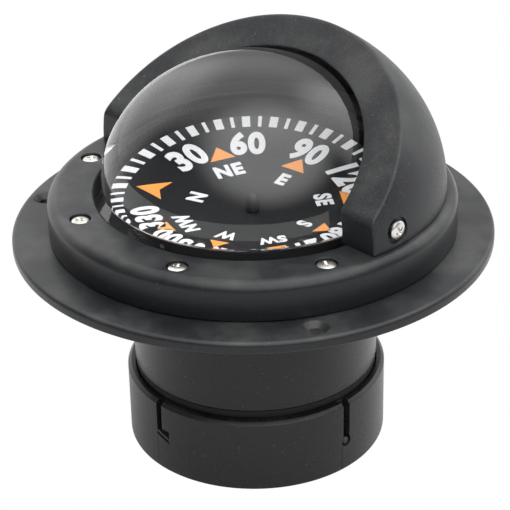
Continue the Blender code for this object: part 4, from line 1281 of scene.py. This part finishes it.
    def build(self, shop: Workshop) -> None:
        """Builds the hood and its two side screws."""
        rows = []
        for i in range(self.lines + 1):
            part = i / self.lines
            rows.append(self.ring(180.0 * (part - self.crowding * math.sin(math.tau * part) / math.tau)))
        columns = len(rows[0])
        points = [p for row in rows for p in row]
        faces: list[Sequence[int]] = list(grid_faces(len(rows), columns, True))
        hood = add_piece("hood_shell", mesh_of("hood_shell", points, faces))
        close_holes(hood)
        carve(hood, [self.recess(1.0), self.recess(-1.0)])
        shop.fit(hood, Slot.HOOD_PLASTIC, Body.HOUSING, ["hood"])
        screw = PanScrew(length=4.5 * MM)
        for side, word, turn in ((1.0, "right", 26.0), (-1.0, "left", 57.0)):
            outward = Vector((side, 0.0, 0.0))
            crown = outward * (self.recess_floor + FIT + screw.head_height) + UP * self.screw_level
            made = screw.make(f"hood_pan_screw_{word}", crown, outward, turn)
            shop.fit(made, Slot.STAINLESS, Body.HOUSING, [f"hood_screw_{word}"])


def close_holes(piece: bpy.types.Object) -> None:
    """Fills the open ends of a piece and drops faces that have no area."""
    shape = bmesh.new()
    shape.from_mesh(piece.data)
    bmesh.ops.dissolve_degenerate(shape, dist=0.001 * MM, edges=shape.edges)
    border = [edge for edge in shape.edges if edge.is_boundary]
    if border:
        bmesh.ops.holes_fill(shape, edges=border, sides=0)
    bmesh.ops.recalc_face_normals(shape, faces=shape.faces)
    shape.to_mesh(piece.data)
    shape.free()
    piece.data.shade_smooth()
    piece.data.set_sharp_from_angle(angle=SOFT_EDGE)


# ---------------------------------------------------------------- dome and bowl


@dataclass
class Dome:
    """The clear dome with its tucked-in foot and clamped lip, and the rubber gasket below it."""

    extent: Extent = field(default_factory=lambda: Extent.of("dome"))
    gasket: Extent = field(default_factory=lambda: Extent.of("dome_gasket"))
    lip: float = 5.5 * MM
    lip_thickness: float = 2.2 * MM
    wall: float = 2.5 * MM
    level: float = 84.8 * MM
    tuck_width: float = 6.5 * MM
    tuck_drop: float = 3.2 * MM
    foot_wall: float = 2.0 * MM
    lip_round: float = 0.4 * MM
    gasket_width: float = 4.0 * MM
    steps: int = 48

    def outer_skin(self) -> list[Point]:
        """The section of the skin that meets the air, from the crown down to the lip's underside."""
        radius = self.extent.radius - self.lip
        foot = radius - self.tuck_width
        lip_top = self.extent.low + self.lip_thickness
        skin = arc(radius, self.extent.high - self.level, (0.0, self.level), 90.0, 0.0, self.steps)
        skin[0] = (0.0, self.extent.high)
        tuck = arc(self.tuck_width, self.tuck_drop, (foot, self.level), 0.0, -90.0, self.steps // 2)[1:]
        corners = [(foot, lip_top), (self.extent.radius, lip_top), (self.extent.radius, self.extent.low),
                   (foot - self.foot_wall, self.extent.low)]
        return skin + tuck + rounded(corners, [0.0, self.lip_round, self.lip_round, 0.0], 4)

    def inner_skin(self) -> list[Point]:
        """The section of the skin that the liquid wets, from the lip's underside up to the crown."""
        radius = self.extent.radius - self.lip
        foot = radius - self.tuck_width - self.foot_wall
        rise = self.extent.high - self.level - self.wall
        skin = arc(radius - self.wall, rise, (0.0, self.level), 0.0, 90.0, self.steps)
        skin[-1] = (0.0, self.level + rise)
        return [(foot, self.extent.low), (foot, self.level - self.tuck_drop + self.foot_wall)] + skin

    def build(self, shop: Workshop) -> None:
        """Builds the dome with its wetted inner skin, and the gasket."""
        outer = turned("dome_outside", self.outer_skin(), FINE, False)
        inner = turned("dome_inside", self.inner_skin(), FINE, False)
        for face in inner.data.polygons:
            face.material_index = 1
        dome = joined("dome_shell", [outer, inner], True)
        shop.fit(dome, Slot.CLEAR_ACRYLIC, Body.HOUSING, ["dome"])
        dome.data.materials.append(shop.wetted_skin)
        outer_radius, low, top = self.gasket.radius, self.gasket.low, self.gasket.high
        bore = outer_radius - self.gasket_width
        corners = [(bore, top), (outer_radius, top), (outer_radius, low), (bore, low)]
        gasket = turned("gasket_ring", rounded(corners, [0.25 * MM] * len(corners), 3))
        shop.fit(gasket, Slot.RUBBER, Body.HOUSING, ["dome_gasket"])


@dataclass
class Bowl:
    """The black bowl that closes the liquid chamber from below."""

    extent: Extent = field(default_factory=lambda: Extent.of("bowl"))
    outer: float = 35.5 * MM
    wall: float = 1.5 * MM
    flange_low: float = 71.1 * MM
    flange_top: float = 73.1 * MM
    floor: float = 2.0 * MM
    corner: float = 12.0 * MM
    opening: float = 10.0 * MM
    plug_offset: float = 20.0 * MM
    plug_hole: float = 2.7 * MM
    pivot_hole: float = 1.0 * MM

    def build(self, shop: Workshop) -> None:
        """Builds the bowl with its plug hole and the bores of the roll pins."""
        low, top = self.extent.low, self.extent.high
        rim = self.extent.radius
        inner = self.outer - self.wall
        corners = [(inner, top), (self.outer, top), (self.outer, self.flange_top), (rim, self.flange_top),
                   (rim, self.flange_low), (self.outer, self.flange_low), (self.outer, low),
                   (self.opening, low), (self.opening, low + self.floor), (inner, low + self.floor)]
        fine = 0.3 * MM
        radii = [fine, fine, fine, 0.0, 0.0, 0.0, self.corner, 0.0, 0.0, self.corner - self.floor]
        bowl = turned("bowl_shell", rounded(corners, radii, 8))
        cutters = []
        for side in (-1.0, 1.0):
            lean = UP.rotation_difference(Vector((0.0, side, 0.0))).to_matrix().to_4x4()
            spot = Vector((0.0, side * (inner + self.wall / 2.0), Extent.of("roll_pin_front").low + 0.8 * MM))
            cutters.append(drill(f"pivot_hole_{side}", self.pivot_hole, 3.0 * self.wall,
                                 Matrix.Translation(spot) @ lean))
        spot = Vector((0.0, self.plug_offset, low))
        cutters.append(drill("plug_hole", self.plug_hole, 4.0 * self.floor, Matrix.Translation(spot)))
        carve(bowl, cutters)
        shop.fit(bowl, Slot.INNER_PLASTIC, Body.HOUSING, ["bowl"])


def drill(name: str, radius: float, length: float, place: Matrix) -> bpy.types.Object:
    """A round cutter about its own middle.

    Args:
        name: The object's name.
        radius: The bore's radius.
        length: Its whole length.
        place: Where it is put; local Z is its axis.

    Returns:
        The cutter.
    """
    half = length / 2.0
    return turned(name, [(0.0, half), (radius, half), (radius, -half), (0.0, -half)], SMALL, False, place)


# ---------------------------------------------------------------- gimbal and cradle


@dataclass
class Gimbal:
    """The gimbal ring and the cradle that hangs in it."""

    ring: Extent = field(default_factory=lambda: Extent.of("gimbal_ring"))
    cradle: Extent = field(default_factory=lambda: Extent.of("cradle"))
    ring_width: float = 2.2 * MM
    cradle_wall: float = 1.2 * MM
    cradle_rim: float = 1.0 * MM
    post_hole: float = 1.4 * MM
    pin_hole: float = 1.0 * MM
    edge: float = 0.3 * MM

    def axis_level(self) -> float:
        """The height of the two gimbal axes."""
        return (self.ring.low + self.ring.high) / 2.0

    def bores(self, along: Vector, radius: float) -> list[bpy.types.Object]:
        """Cutters for a pair of pin holes on opposite sides."""
        cutters = []
        for side in (-1.0, 1.0):
            lean = UP.rotation_difference(along * side).to_matrix().to_4x4()
            spot = along * (side * radius) + UP * self.axis_level()
            place = Matrix.Translation(spot) @ lean
            cutters.append(drill(f"pin_hole_{side}", self.pin_hole, 6.0 * MM, place))
        return cutters

    def build(self, shop: Workshop) -> None:
        """Builds the ring on the gimbal body and the cup on the cradle body."""
        outer, inner = self.ring.radius, self.ring.radius - self.ring_width
        high, low = self.ring.high, self.ring.low
        corners = [(inner, high), (outer, high), (outer, low), (inner, low)]
        ring = turned("gimbal_hoop", rounded(corners, [self.edge] * 4, 4))
        middle = (outer + inner) / 2.0
        carve(ring, self.bores(Vector((0.0, 1.0, 0.0)), middle) + self.bores(Vector((1.0, 0.0, 0.0)), middle))
        shop.fit(ring, Slot.INNER_PLASTIC, Body.GIMBAL, ["gimbal_ring"])
        level = self.axis_level()
        radius = self.cradle.radius
        bore = radius - self.cradle_wall
        depth = level - self.cradle.low
        start = math.degrees(math.asin(self.cradle_rim / radius))
        end = -math.degrees(math.asin(depth / radius))
        inner_end = -math.degrees(math.asin((depth - self.cradle_wall) / bore))
        inner_start = math.degrees(math.asin(self.cradle_rim / bore))
        section = arc(radius, radius, (0.0, level), start, end, 24)
        section += [(self.post_hole, self.cradle.low), (self.post_hole, self.cradle.low + self.cradle_wall)]
        section += arc(bore, bore, (0.0, level), inner_end, inner_start, 24)
        cup = turned("cradle_cup", section)
        carve(cup, self.bores(Vector((1.0, 0.0, 0.0)), (radius + bore) / 2.0))
        shop.fit(cup, Slot.INNER_PLASTIC, Body.CRADLE, ["cradle"])


# ---------------------------------------------------------------- card


@dataclass
class CompassCard:
    """The turning card with its generic ticks, numerals, letters and markers."""

    extent: Extent = field(default_factory=lambda: Extent.of("card"))
    peg: Extent = field(default_factory=lambda: Extent.of("card_peg"))
    north: float = 287.4
    edge_round: float = 0.2 * MM
    ink: float = 0.04 * MM
    lift: float = 0.01 * MM
    tick_outer: float = 27.2 * MM
    tick_inner: float = 24.9 * MM
    thick: float = 1.35 * MM
    thin: float = 0.6 * MM
    tick_step: int = 5
    numeral_radius: float = 20.8 * MM
    numeral_height: float = 5.9 * MM
    numeral_width: float = 0.78
    letter_radius: float = 11.9 * MM
    letter_height: float = 3.5 * MM
    letter_width: float = 0.88
    triangle_base: float = 15.3 * MM
    triangle_length: float = 3.4 * MM
    triangle_half: float = 2.3 * MM
    outer_row_shift: float = 2.2 * MM
    marker_base: float = 17.9 * MM
    marker_apex: float = 23.4 * MM
    marker_half: float = 2.9 * MM
    marker_notch: float = 1.3 * MM
    boldness: float = 0.048

    def spot(self, bearing: float, radius: float) -> Matrix:
        """The frame of a mark: its origin on the card, Y outwards and Z up.

        Args:
            bearing: Degrees clockwise from the north marker.
            radius: Distance from the card's centre.

        Returns:
            The matrix.
        """
        angle = self.north - bearing
        outward = around(angle, 1.0)
        sideways = outward.cross(UP)
        place = Matrix((sideways, outward, UP)).transposed().to_4x4()
        place.translation = outward * radius + UP * (self.extent.high + self.lift + self.ink / 2.0)
        return place

    def flat(self, name: str, outline: Sequence[Point], bearing: float, radius: float) -> bpy.types.Object:
        """A flat printed shape on the card."""
        return prism(name, outline, self.ink, self.spot(bearing, radius))

    def word(self, text: str, bearing: float, radius: float, height: float, width: float) -> bpy.types.Object:
        """Figures or cardinal letters printed on the card.

        Args:
            text: What is printed.
            bearing: Where it stands, in degrees.
            radius: Distance of its middle from the card's centre.
            height: Height of a capital.
            width: How far the letters are narrowed.

        Returns:
            The printed word.
        """
        curve = bpy.data.curves.new(f"word_{text}", "FONT")
        curve.body = text
        curve.offset = self.boldness
        curve.space_character = 1.12
        curve.resolution_u = 5
        drawn = bpy.data.objects.new(curve.name, curve)
        bpy.context.scene.collection.objects.link(drawn)
        bpy.context.view_layer.update()
        evaluated = drawn.evaluated_get(bpy.context.evaluated_depsgraph_get())
        mesh = bpy.data.meshes.new_from_object(evaluated)
        bpy.data.objects.remove(drawn, do_unlink=True)
        xs = [v.co.x for v in mesh.vertices]
        ys = [v.co.y for v in mesh.vertices]
        size = height / (max(ys) - min(ys))
        centre = Vector(((max(xs) + min(xs)) / 2.0, (max(ys) + min(ys)) / 2.0, 0.0))
        fit = Matrix.Diagonal((size * width, size, 1.0, 1.0)) @ Matrix.Translation(-centre)
        shape = bmesh.new()
        shape.from_mesh(mesh)
        bmesh.ops.transform(shape, matrix=fit, verts=shape.verts)
        bmesh.ops.remove_doubles(shape, verts=shape.verts, dist=0.001 * MM)
        thicken(shape, self.ink)
        bmesh.ops.transform(shape, matrix=self.spot(bearing, radius), verts=shape.verts)
        shape.to_mesh(mesh)
        shape.free()
        return add_piece(f"{text}_{int(bearing)}", mesh)

    def ticks(self) -> list[bpy.types.Object]:
        """The ring of ticks, a thick one every ten degrees and a thin one between."""
        made = []
        length = self.tick_outer - self.tick_inner
        middle = (self.tick_outer + self.tick_inner) / 2.0
        for bearing in range(0, int(FULL_TURN), self.tick_step):
            half = (self.thin if bearing % (2 * self.tick_step) else self.thick) / 2.0
            reach = length / 2.0
            outline = [(-half, -reach), (half, -reach), (half, reach), (-half, reach)]
            made.append(self.flat(f"tick_{bearing}", outline, bearing, middle))
        return made

    def numerals(self) -> list[bpy.types.Object]:
        """The figures every thirty degrees, without the north marker's."""
        return [self.word(str(bearing), bearing, self.numeral_radius, self.numeral_height, self.numeral_width)
                for bearing in range(30, int(FULL_TURN), 30)]

    def letters(self) -> list[bpy.types.Object]:
        """The cardinal and half-cardinal letters."""
        words = ("N", "NE", "E", "SE", "S", "SW", "W", "NW")
        return [self.word(word, 45.0 * i, self.letter_radius + self.row_shift(i), self.letter_height,
                          self.letter_width) for i, word in enumerate(words)]

    def row_shift(self, point: int) -> float:
        """How much farther out the marks of a half-cardinal point stand."""
        return self.outer_row_shift if point % 2 else 0.0

    def triangles(self) -> list[bpy.types.Object]:
        """The orange arrowheads, a large notched one at north and small ones at the other letters."""
        made = []
        for i in range(1, 8):
            half = self.triangle_half
            outline = [(-half, 0.0), (half, 0.0), (0.0, self.triangle_length)]
            made.append(self.flat(f"triangle_{i}", outline, 45.0 * i, self.triangle_base + self.row_shift(i)))
        length = self.marker_apex - self.marker_base
        outline = [(-self.marker_half, 0.0), (0.0, self.marker_notch), (self.marker_half, 0.0), (0.0, length)]
        made.append(self.flat("north_marker", outline, 0.0, self.marker_base))
        return made

    def build(self, shop: Workshop) -> None:
        """Builds the card, its prints and its peg."""
        top, low, rim = self.extent.high, self.extent.low, self.extent.radius
        edge = self.edge_round
        section = [(0.0, top), (rim - edge, top), (rim, top - edge)]
        section += [(rim, low + edge), (rim - edge, low), (0.0, low)]
        card = turned("card_disc", section, FINE, False)
        shop.fit(card, Slot.CARD_BLACK, Body.CARD, ["card"])
        for name, made, ink in (("card_ticks", self.ticks(), shop.white_ink),
                                ("card_numerals", self.numerals(), shop.white_ink),
                                ("card_letters", self.letters(), shop.white_ink),
                                ("card_arrowheads", self.triangles(), shop.orange_ink)):
            shop.fit(joined(name, made), Slot.WHITE_PLASTIC, Body.CARD, material=ink)
        radius, high, foot = self.peg.radius, self.peg.high, self.peg.low
        dome = arc(radius, radius, (0.0, high - radius), 90.0, 0.0, 14)
        dome[0] = (0.0, high)
        peg = turned("peg_post", dome + [(radius, foot), (0.0, foot)], SMALL, False)
        shop.fit(peg, Slot.INNER_PLASTIC, Body.CARD, ["card_peg"])


def thicken(shape: bmesh.types.BMesh, thickness: float) -> None:
    """Turns a flat sheet in the XY plane into a closed plate about that plane.

    Args:
        shape: The sheet.
        thickness: The plate's thickness.
    """
    bmesh.ops.recalc_face_normals(shape, faces=shape.faces)
    bmesh.ops.translate(shape, vec=Vector((0.0, 0.0, -thickness / 2.0)), verts=shape.verts)
    grown = bmesh.ops.extrude_face_region(shape, geom=shape.faces[:], use_keep_orig=True)
    lifted = [item for item in grown["geom"] if isinstance(item, bmesh.types.BMVert)]
    bmesh.ops.translate(shape, vec=Vector((0.0, 0.0, thickness)), verts=lifted)
    bmesh.ops.recalc_face_normals(shape, faces=shape.faces)


# ---------------------------------------------------------------- can and bottom cup


@dataclass
class Can:
    """The deep can below the flange, its seal and the two guide pins."""

    extent: Extent = field(default_factory=lambda: Extent.of("can"))
    seal: Extent = field(default_factory=lambda: Extent.of("cup_seal"))
    radius: float = 37.6 * MM
    wall: float = 1.8 * MM
    lower_wall: float = 3.4 * MM
    lip_thickness: float = 1.5 * MM
    neck: float = 1.2 * MM
    spigot: float = 37.3 * MM
    step: float = 33.1 * MM
    floor: float = 2.0 * MM
    vent: float = 4.5 * MM
    edge: float = 0.35 * MM
    slot_angle: float = -2.2
    pin_radius: float = 1.2 * MM
    pin_level: float = 10.0 * MM
    shaft_hole: float = 2.0 * MM

    def section(self) -> list[Point]:
        """The can's section, from its lip's inner corner outwards and round."""
        top, low = self.extent.high, self.extent.low
        bore = self.radius - self.wall
        lower_bore = self.radius - self.lower_wall
        groove_top = self.seal.high + FIT
        groove_low = self.seal.low - FIT
        neck = self.radius - self.neck
        lip_low = top - self.lip_thickness
        corners = [(bore, top), (self.extent.radius, top), (self.extent.radius, lip_low),
                   (self.radius, lip_low), (self.radius, groove_top), (neck, groove_top),
                   (neck, groove_low), (self.spigot, groove_low),
                   (self.spigot, low), (self.vent, low), (self.vent, low + self.floor),
                   (lower_bore, low + self.floor), (lower_bore, self.step), (bore, self.step + self.floor)]
        radii = [0.0] * len(corners)
        radii[4] = self.edge
        radii[8] = self.edge
        return rounded(corners, radii, 5)

    def build(self, shop: Workshop) -> None:
        """Builds the can with its shaft holes, the seal and the pins."""
        can = turned("can_shell", self.section())
        cutters = []
        wall = (self.spigot + self.radius - self.lower_wall) / 2.0
        heading = (Extent.of("heading_shaft").low + Extent.of("heading_shaft").high) / 2.0
        beam = (Extent.of("beam_shaft").low + Extent.of("beam_shaft").high) / 2.0
        for angle, level, radius in ((self.slot_angle + 90.0, self.pin_level, self.pin_radius + 0.2 * MM),
                                     (self.slot_angle - 90.0, self.pin_level, self.pin_radius + 0.2 * MM),
                                     (-90.0, heading, self.shaft_hole), (180.0, beam, self.shaft_hole)):
            cutters.append(drill(f"bore_{angle}", radius, 3.0 * self.lower_wall, facing(angle, wall, level)))
        carve(can, cutters)
        shop.fit(can, Slot.CAN_PLASTIC, Body.HOUSING, ["can"])
        outer, low, top = self.seal.radius, self.seal.low, self.seal.high
        inner = self.radius - self.neck + FIT
        round_edge = 0.35 * (outer - inner)
        corners = [(inner, top), (outer, top), (outer, low), (inner, low)]
        seal = turned("seal_ring", rounded(corners, [round_edge] * 4, 4))
        shop.fit(seal, Slot.RUBBER, Body.HOUSING, ["cup_seal"])
        for angle, word in ((self.slot_angle + 90.0, "right"), (self.slot_angle - 90.0, "left")):
            low_end = self.radius - self.lower_wall + FIT
            high_end = Extent.of("bottom_cup").radius - FIT
            half = (high_end - low_end) / 2.0
            edge = 0.2 * MM
            profile = [(0.0, half), (self.pin_radius - edge, half), (self.pin_radius, half - edge),
                       (self.pin_radius, -half), (0.0, -half)]
            pin = turned(f"guide_peg_{word}", profile, SMALL, False,
                         facing(angle, (low_end + high_end) / 2.0, self.pin_level))
            shop.fit(pin, Slot.CAN_PLASTIC, Body.HOUSING, [f"guide_pin_{word}"])


@dataclass
class BottomCup:
    """The pull-off cup with its two latch slots and two guide slots."""

    extent: Extent = field(default_factory=lambda: Extent.of("bottom_cup"))
    bore: float = 37.6 * MM
    floor: float = 2.5 * MM
    chamfer: float = 1.0 * MM
    bottom_round: float = 0.6 * MM
    gland: float = 4.8 * MM
    slot_angle: float = -2.2
    guide_width: float = 2.6 * MM
    eye_radius: float = 1.75 * MM
    pin_level: float = 10.0 * MM
    latch_width: float = 2.3 * MM
    foot_length: float = 5.2 * MM
    foot_top: float = 14.4 * MM
    finger_drop: float = 1.7 * MM
    finger: float = 0.8 * MM
    slit: float = 1.0 * MM
    seam_width: float = 0.16 * MM
    seam_depth: float = 0.12 * MM

    def section(self) -> list[Point]:
        """The cup's section, from its mouth's inner corner outwards and round."""
        top, rim = self.extent.high, self.extent.radius
        corners = [(self.bore, top), (rim - self.chamfer, top), (rim, top - self.chamfer), (rim, 0.0),
                   (self.gland, 0.0), (self.gland, self.floor), (self.bore, self.floor)]
        soft = 0.25 * MM
        return rounded(corners, [0.15 * MM, soft, soft, self.bottom_round, 0.0, 0.0, 0.0], 5)

    def latch(self) -> list[Point]:
        """The latch slot and the gap above its spring finger."""
        half = self.latch_width / 2.0
        right = self.foot_length - half
        left_low = self.foot_top - self.finger
        right_low = left_low - self.finger_drop
        top = self.extent.high + self.chamfer
        return [(-half, left_low), (right, right_low), (right, self.foot_top), (half, self.foot_top),
                (half, top), (-half, top)]

    def under_finger(self) -> list[Point]:
        """The slanting slit below the spring finger."""
        half = self.latch_width / 2.0
        right = self.foot_length - half
        left_top = self.foot_top - 2.0 * self.finger
        right_top = left_top - self.finger_drop
        return [(-half, left_top - self.slit), (right, right_top - self.slit), (right, right_top),
                (-half, left_top)]

    def build(self, shop: Workshop) -> None:
        """Builds the cup and cuts its slots and mould seams."""
        cup = turned("cup_shell", self.section())
        rim = self.extent.radius
        wall = (self.bore + rim) / 2.0
        through = 2.0 * (rim - self.bore)
        cutters = []
        for turn in (0.0, 180.0):
            place = facing(self.slot_angle + turn, wall, 0.0)
            cutters.append(prism(f"latch_{turn}", self.latch(), through, place))
            cutters.append(prism(f"slit_{turn}", self.under_finger(), through, place))
            side = self.slot_angle + 90.0 + turn
            cutters.append(drill(f"eye_{turn}", self.eye_radius, through, facing(side, wall, self.pin_level)))
            length = self.extent.high + self.chamfer - self.pin_level
            cutters.append(block(f"guide_{turn}", (self.guide_width, length, through),
                                 facing(side, wall, self.pin_level + length / 2.0)))
        carve(cup, cutters)
        seams = []
        for turn in (0.0, 90.0, 180.0, 270.0):
            latch = turn % 180.0 == 0.0
            shift = -self.latch_width / 2.0 if latch else -self.eye_radius
            angle = self.slot_angle + turn + math.degrees(shift / rim)
            height = self.foot_top - self.finger if latch else self.pin_level
            seams.append(block(f"seam_{turn}", (self.seam_width, height, 2.0 * self.seam_depth),
                               facing(angle, rim, height / 2.0)))
        carve(cup, seams)
        shop.fit(cup, Slot.CAN_PLASTIC, Body.CUP, ["bottom_cup"])


# ---------------------------------------------------------------- pieces that keep their CAD shape


KEPT_NODES = {
    Slot.INNER_PLASTIC: ("diaphragm_retainer", "compensator_frame", "lamp_bracket"),
    Slot.RUBBER: ("diaphragm", "cable_grommet"),
    Slot.BRASS: ("filler_plug", "pivot_post", "heading_shaft", "beam_shaft"),
    Slot.STAINLESS: ("roll_pin_front", "roll_pin_rear", "pitch_pin_left", "pitch_pin_right"),
    Slot.MAGNET: ("card_magnet_left", "card_magnet_right", "heading_magnet", "beam_magnet"),
    Slot.FLOAT_PLASTIC: ("card_float",),
    Slot.WHITE_PLASTIC: ("lubber_post",),
    Slot.JEWEL: ("jewel_cup",),
    Slot.LEAD: ("counterweight",),
    Slot.LAMP_RED: ("lamp",),
}


def dress_kept_nodes(shop: Workshop) -> None:
    """Gives every CAD node that still shows its procedural material."""
    for slot, nodes in KEPT_NODES.items():
        for node in nodes:
            shop.dress_node(node, slot)


# ---------------------------------------------------------------- studio


@dataclass(frozen=True)
class Glow:
    """A soft patch of light on the studio's wall, which fades smoothly outwards."""

    azimuth: float
    elevation: float
    core: float
    reach: float
    strength: float

    def add(self, tree: bpy.types.NodeTree, way: bpy.types.NodeSocket, total: bpy.types.NodeSocket | None
            ) -> bpy.types.NodeSocket:
        """Adds the patch to the room's light.

        Args:
            tree: The world's node tree.
            way: The direction that is looked in.
            total: The light so far, or None.

        Returns:
            The new total's socket.
        """
        dot = tree.nodes.new("ShaderNodeVectorMath")
        dot.operation = "DOT_PRODUCT"
        dot.inputs[1].default_value = direction(self.azimuth, self.elevation)
        tree.links.new(way, dot.inputs[0])
        fade = tree.nodes.new("ShaderNodeMapRange")
        fade.interpolation_type = "SMOOTHERSTEP"
        fade.inputs["From Min"].default_value = math.cos(math.radians(self.reach))
        fade.inputs["From Max"].default_value = math.cos(math.radians(self.core))
        fade.inputs["To Max"].default_value = self.strength
        tree.links.new(dot.outputs["Value"], fade.inputs["Value"])
        if total is None:
            return fade.outputs["Result"]
        both = tree.nodes.new("ShaderNodeMath")
        tree.links.new(total, both.inputs[0])
        tree.links.new(fade.outputs["Result"], both.inputs[1])
        return both.outputs[0]


def direction(azimuth: float, elevation: float) -> Vector:
    """The way from the compass to a viewer at that azimuth and elevation, in degrees."""
    flat = around(azimuth, math.cos(math.radians(elevation)))
    return flat + UP * math.sin(math.radians(elevation))


@dataclass
class Studio:
    """The pale floor, the soft boxes and the camera."""

    azimuth: float = 45.64
    elevation: float = 28.46
    distance: float = 578.7 * MM
    aim_level: float = 58.67 * MM
    aim_side: float = 0.37 * MM
    focal: float = 133.93
    roll: float = -1.247
    floor_half: float = 4.0
    floor_drop: float = 14.0 * MM
    bounce: float = 0.60
    fill: float = 0.03
    glows: tuple[Glow, ...] = (
        Glow(68.0, 62.0, 14.0, 56.0, 3.3),
        Glow(225.6, 62.0, 5.0, 60.0, 1.0),
        Glow(225.6, 10.0, 45.0, 98.0, 0.42),
        Glow(-95.0, 15.0, 6.0, 40.0, 1.0),
        Glow(165.0, 28.0, 6.0, 38.0, 1.8),
    )

    def floor(self) -> None:
        """Lays a pale floor, which lights the compass only faintly and isn't part of it."""
        # The compass hangs by its flange, and the bottom cup's travel ends above the floor.
        half, level = self.floor_half, -self.floor_drop
        mesh = mesh_of("studio_floor", [(-half, -half, level), (half, -half, level), (half, half, level),
                                        (-half, half, level)], [(0, 1, 2, 3)])
        floor = add_piece("studio_floor", mesh)
        work = Paintwork("studio_floor")
        work.set("Base Color", (self.bounce, self.bounce, self.bounce))
        work.set("Roughness", 1.0)
        work.set("Specular IOR Level", 0.0)
        nodes = work.tree.nodes
        path = nodes.new("ShaderNodeLightPath")
        pale = nodes.new("ShaderNodeEmission")
        mix = nodes.new("ShaderNodeMixShader")
        work.tree.links.new(path.outputs["Is Camera Ray"], mix.inputs["Fac"])
        work.tree.links.new(work.shader.outputs["BSDF"], mix.inputs[1])
        work.tree.links.new(pale.outputs["Emission"], mix.inputs[2])
        work.tree.links.new(mix.outputs["Shader"], nodes["Material Output"].inputs["Surface"])
        mesh.materials.append(work.material)

    def world(self) -> None:
        """Surrounds the compass with soft patches of light over an even faint fill."""
        world = bpy.data.worlds.new("room")
        world.use_nodes = True
        tree = world.node_tree
        place = tree.nodes.new("ShaderNodeTexCoord")
        total: bpy.types.NodeSocket | None = None
        for glow in self.glows:
            total = glow.add(tree, place.outputs["Generated"], total)
        lift = tree.nodes.new("ShaderNodeMath")
        lift.inputs[1].default_value = self.fill
        tree.links.new(total, lift.inputs[0])
        back = tree.nodes["Background"]
        back.inputs["Color"].default_value = (1.0, 1.0, 1.0, 1.0)
        tree.links.new(lift.outputs[0], back.inputs["Strength"])
        bpy.context.scene.world = world

    def camera(self) -> None:
        """Sets the camera at the viewing angle."""
        data = bpy.data.cameras.new("camera")
        data.lens = self.focal
        data.sensor_width = 36.0
        data.dof.use_dof = False
        data.clip_start = 0.01
        data.clip_end = 20.0
        back = direction(self.azimuth, self.elevation)
        look = (-back).to_track_quat("-Z", "Y")
        side = look @ Vector((1.0, 0.0, 0.0))
        target = UP * self.aim_level + side * self.aim_side
        camera = bpy.data.objects.new("camera", data)
        camera.location = target + back * self.distance
        camera.rotation_mode = "QUATERNION"
        camera.rotation_quaternion = look @ Quaternion(Vector((0.0, 0.0, 1.0)), math.radians(self.roll))
        bpy.context.scene.collection.objects.link(camera)
        bpy.context.scene.camera = camera

    def build(self) -> None:
        """Sets the floor, the light and the camera."""
        self.floor()
        self.world()
        self.camera()
        bpy.context.scene.view_settings.view_transform = "Standard"


def main() -> None:
    """Builds every sub-assembly, dresses the kept CAD nodes and builds the studio."""
    logging.basicConfig(level=logging.INFO, format="%(message)s")
    shop = Workshop()
    for part in (MountingFlange(), BezelRing(), SunHood(), Dome(), Bowl(), Gimbal(), CompassCard(), Can(),
                 BottomCup()):
        LOG.info("building %s", type(part).__name__)
        part.build(shop)
    dress_kept_nodes(shop)
    Studio().build()


if __name__ == "__main__":
    main()
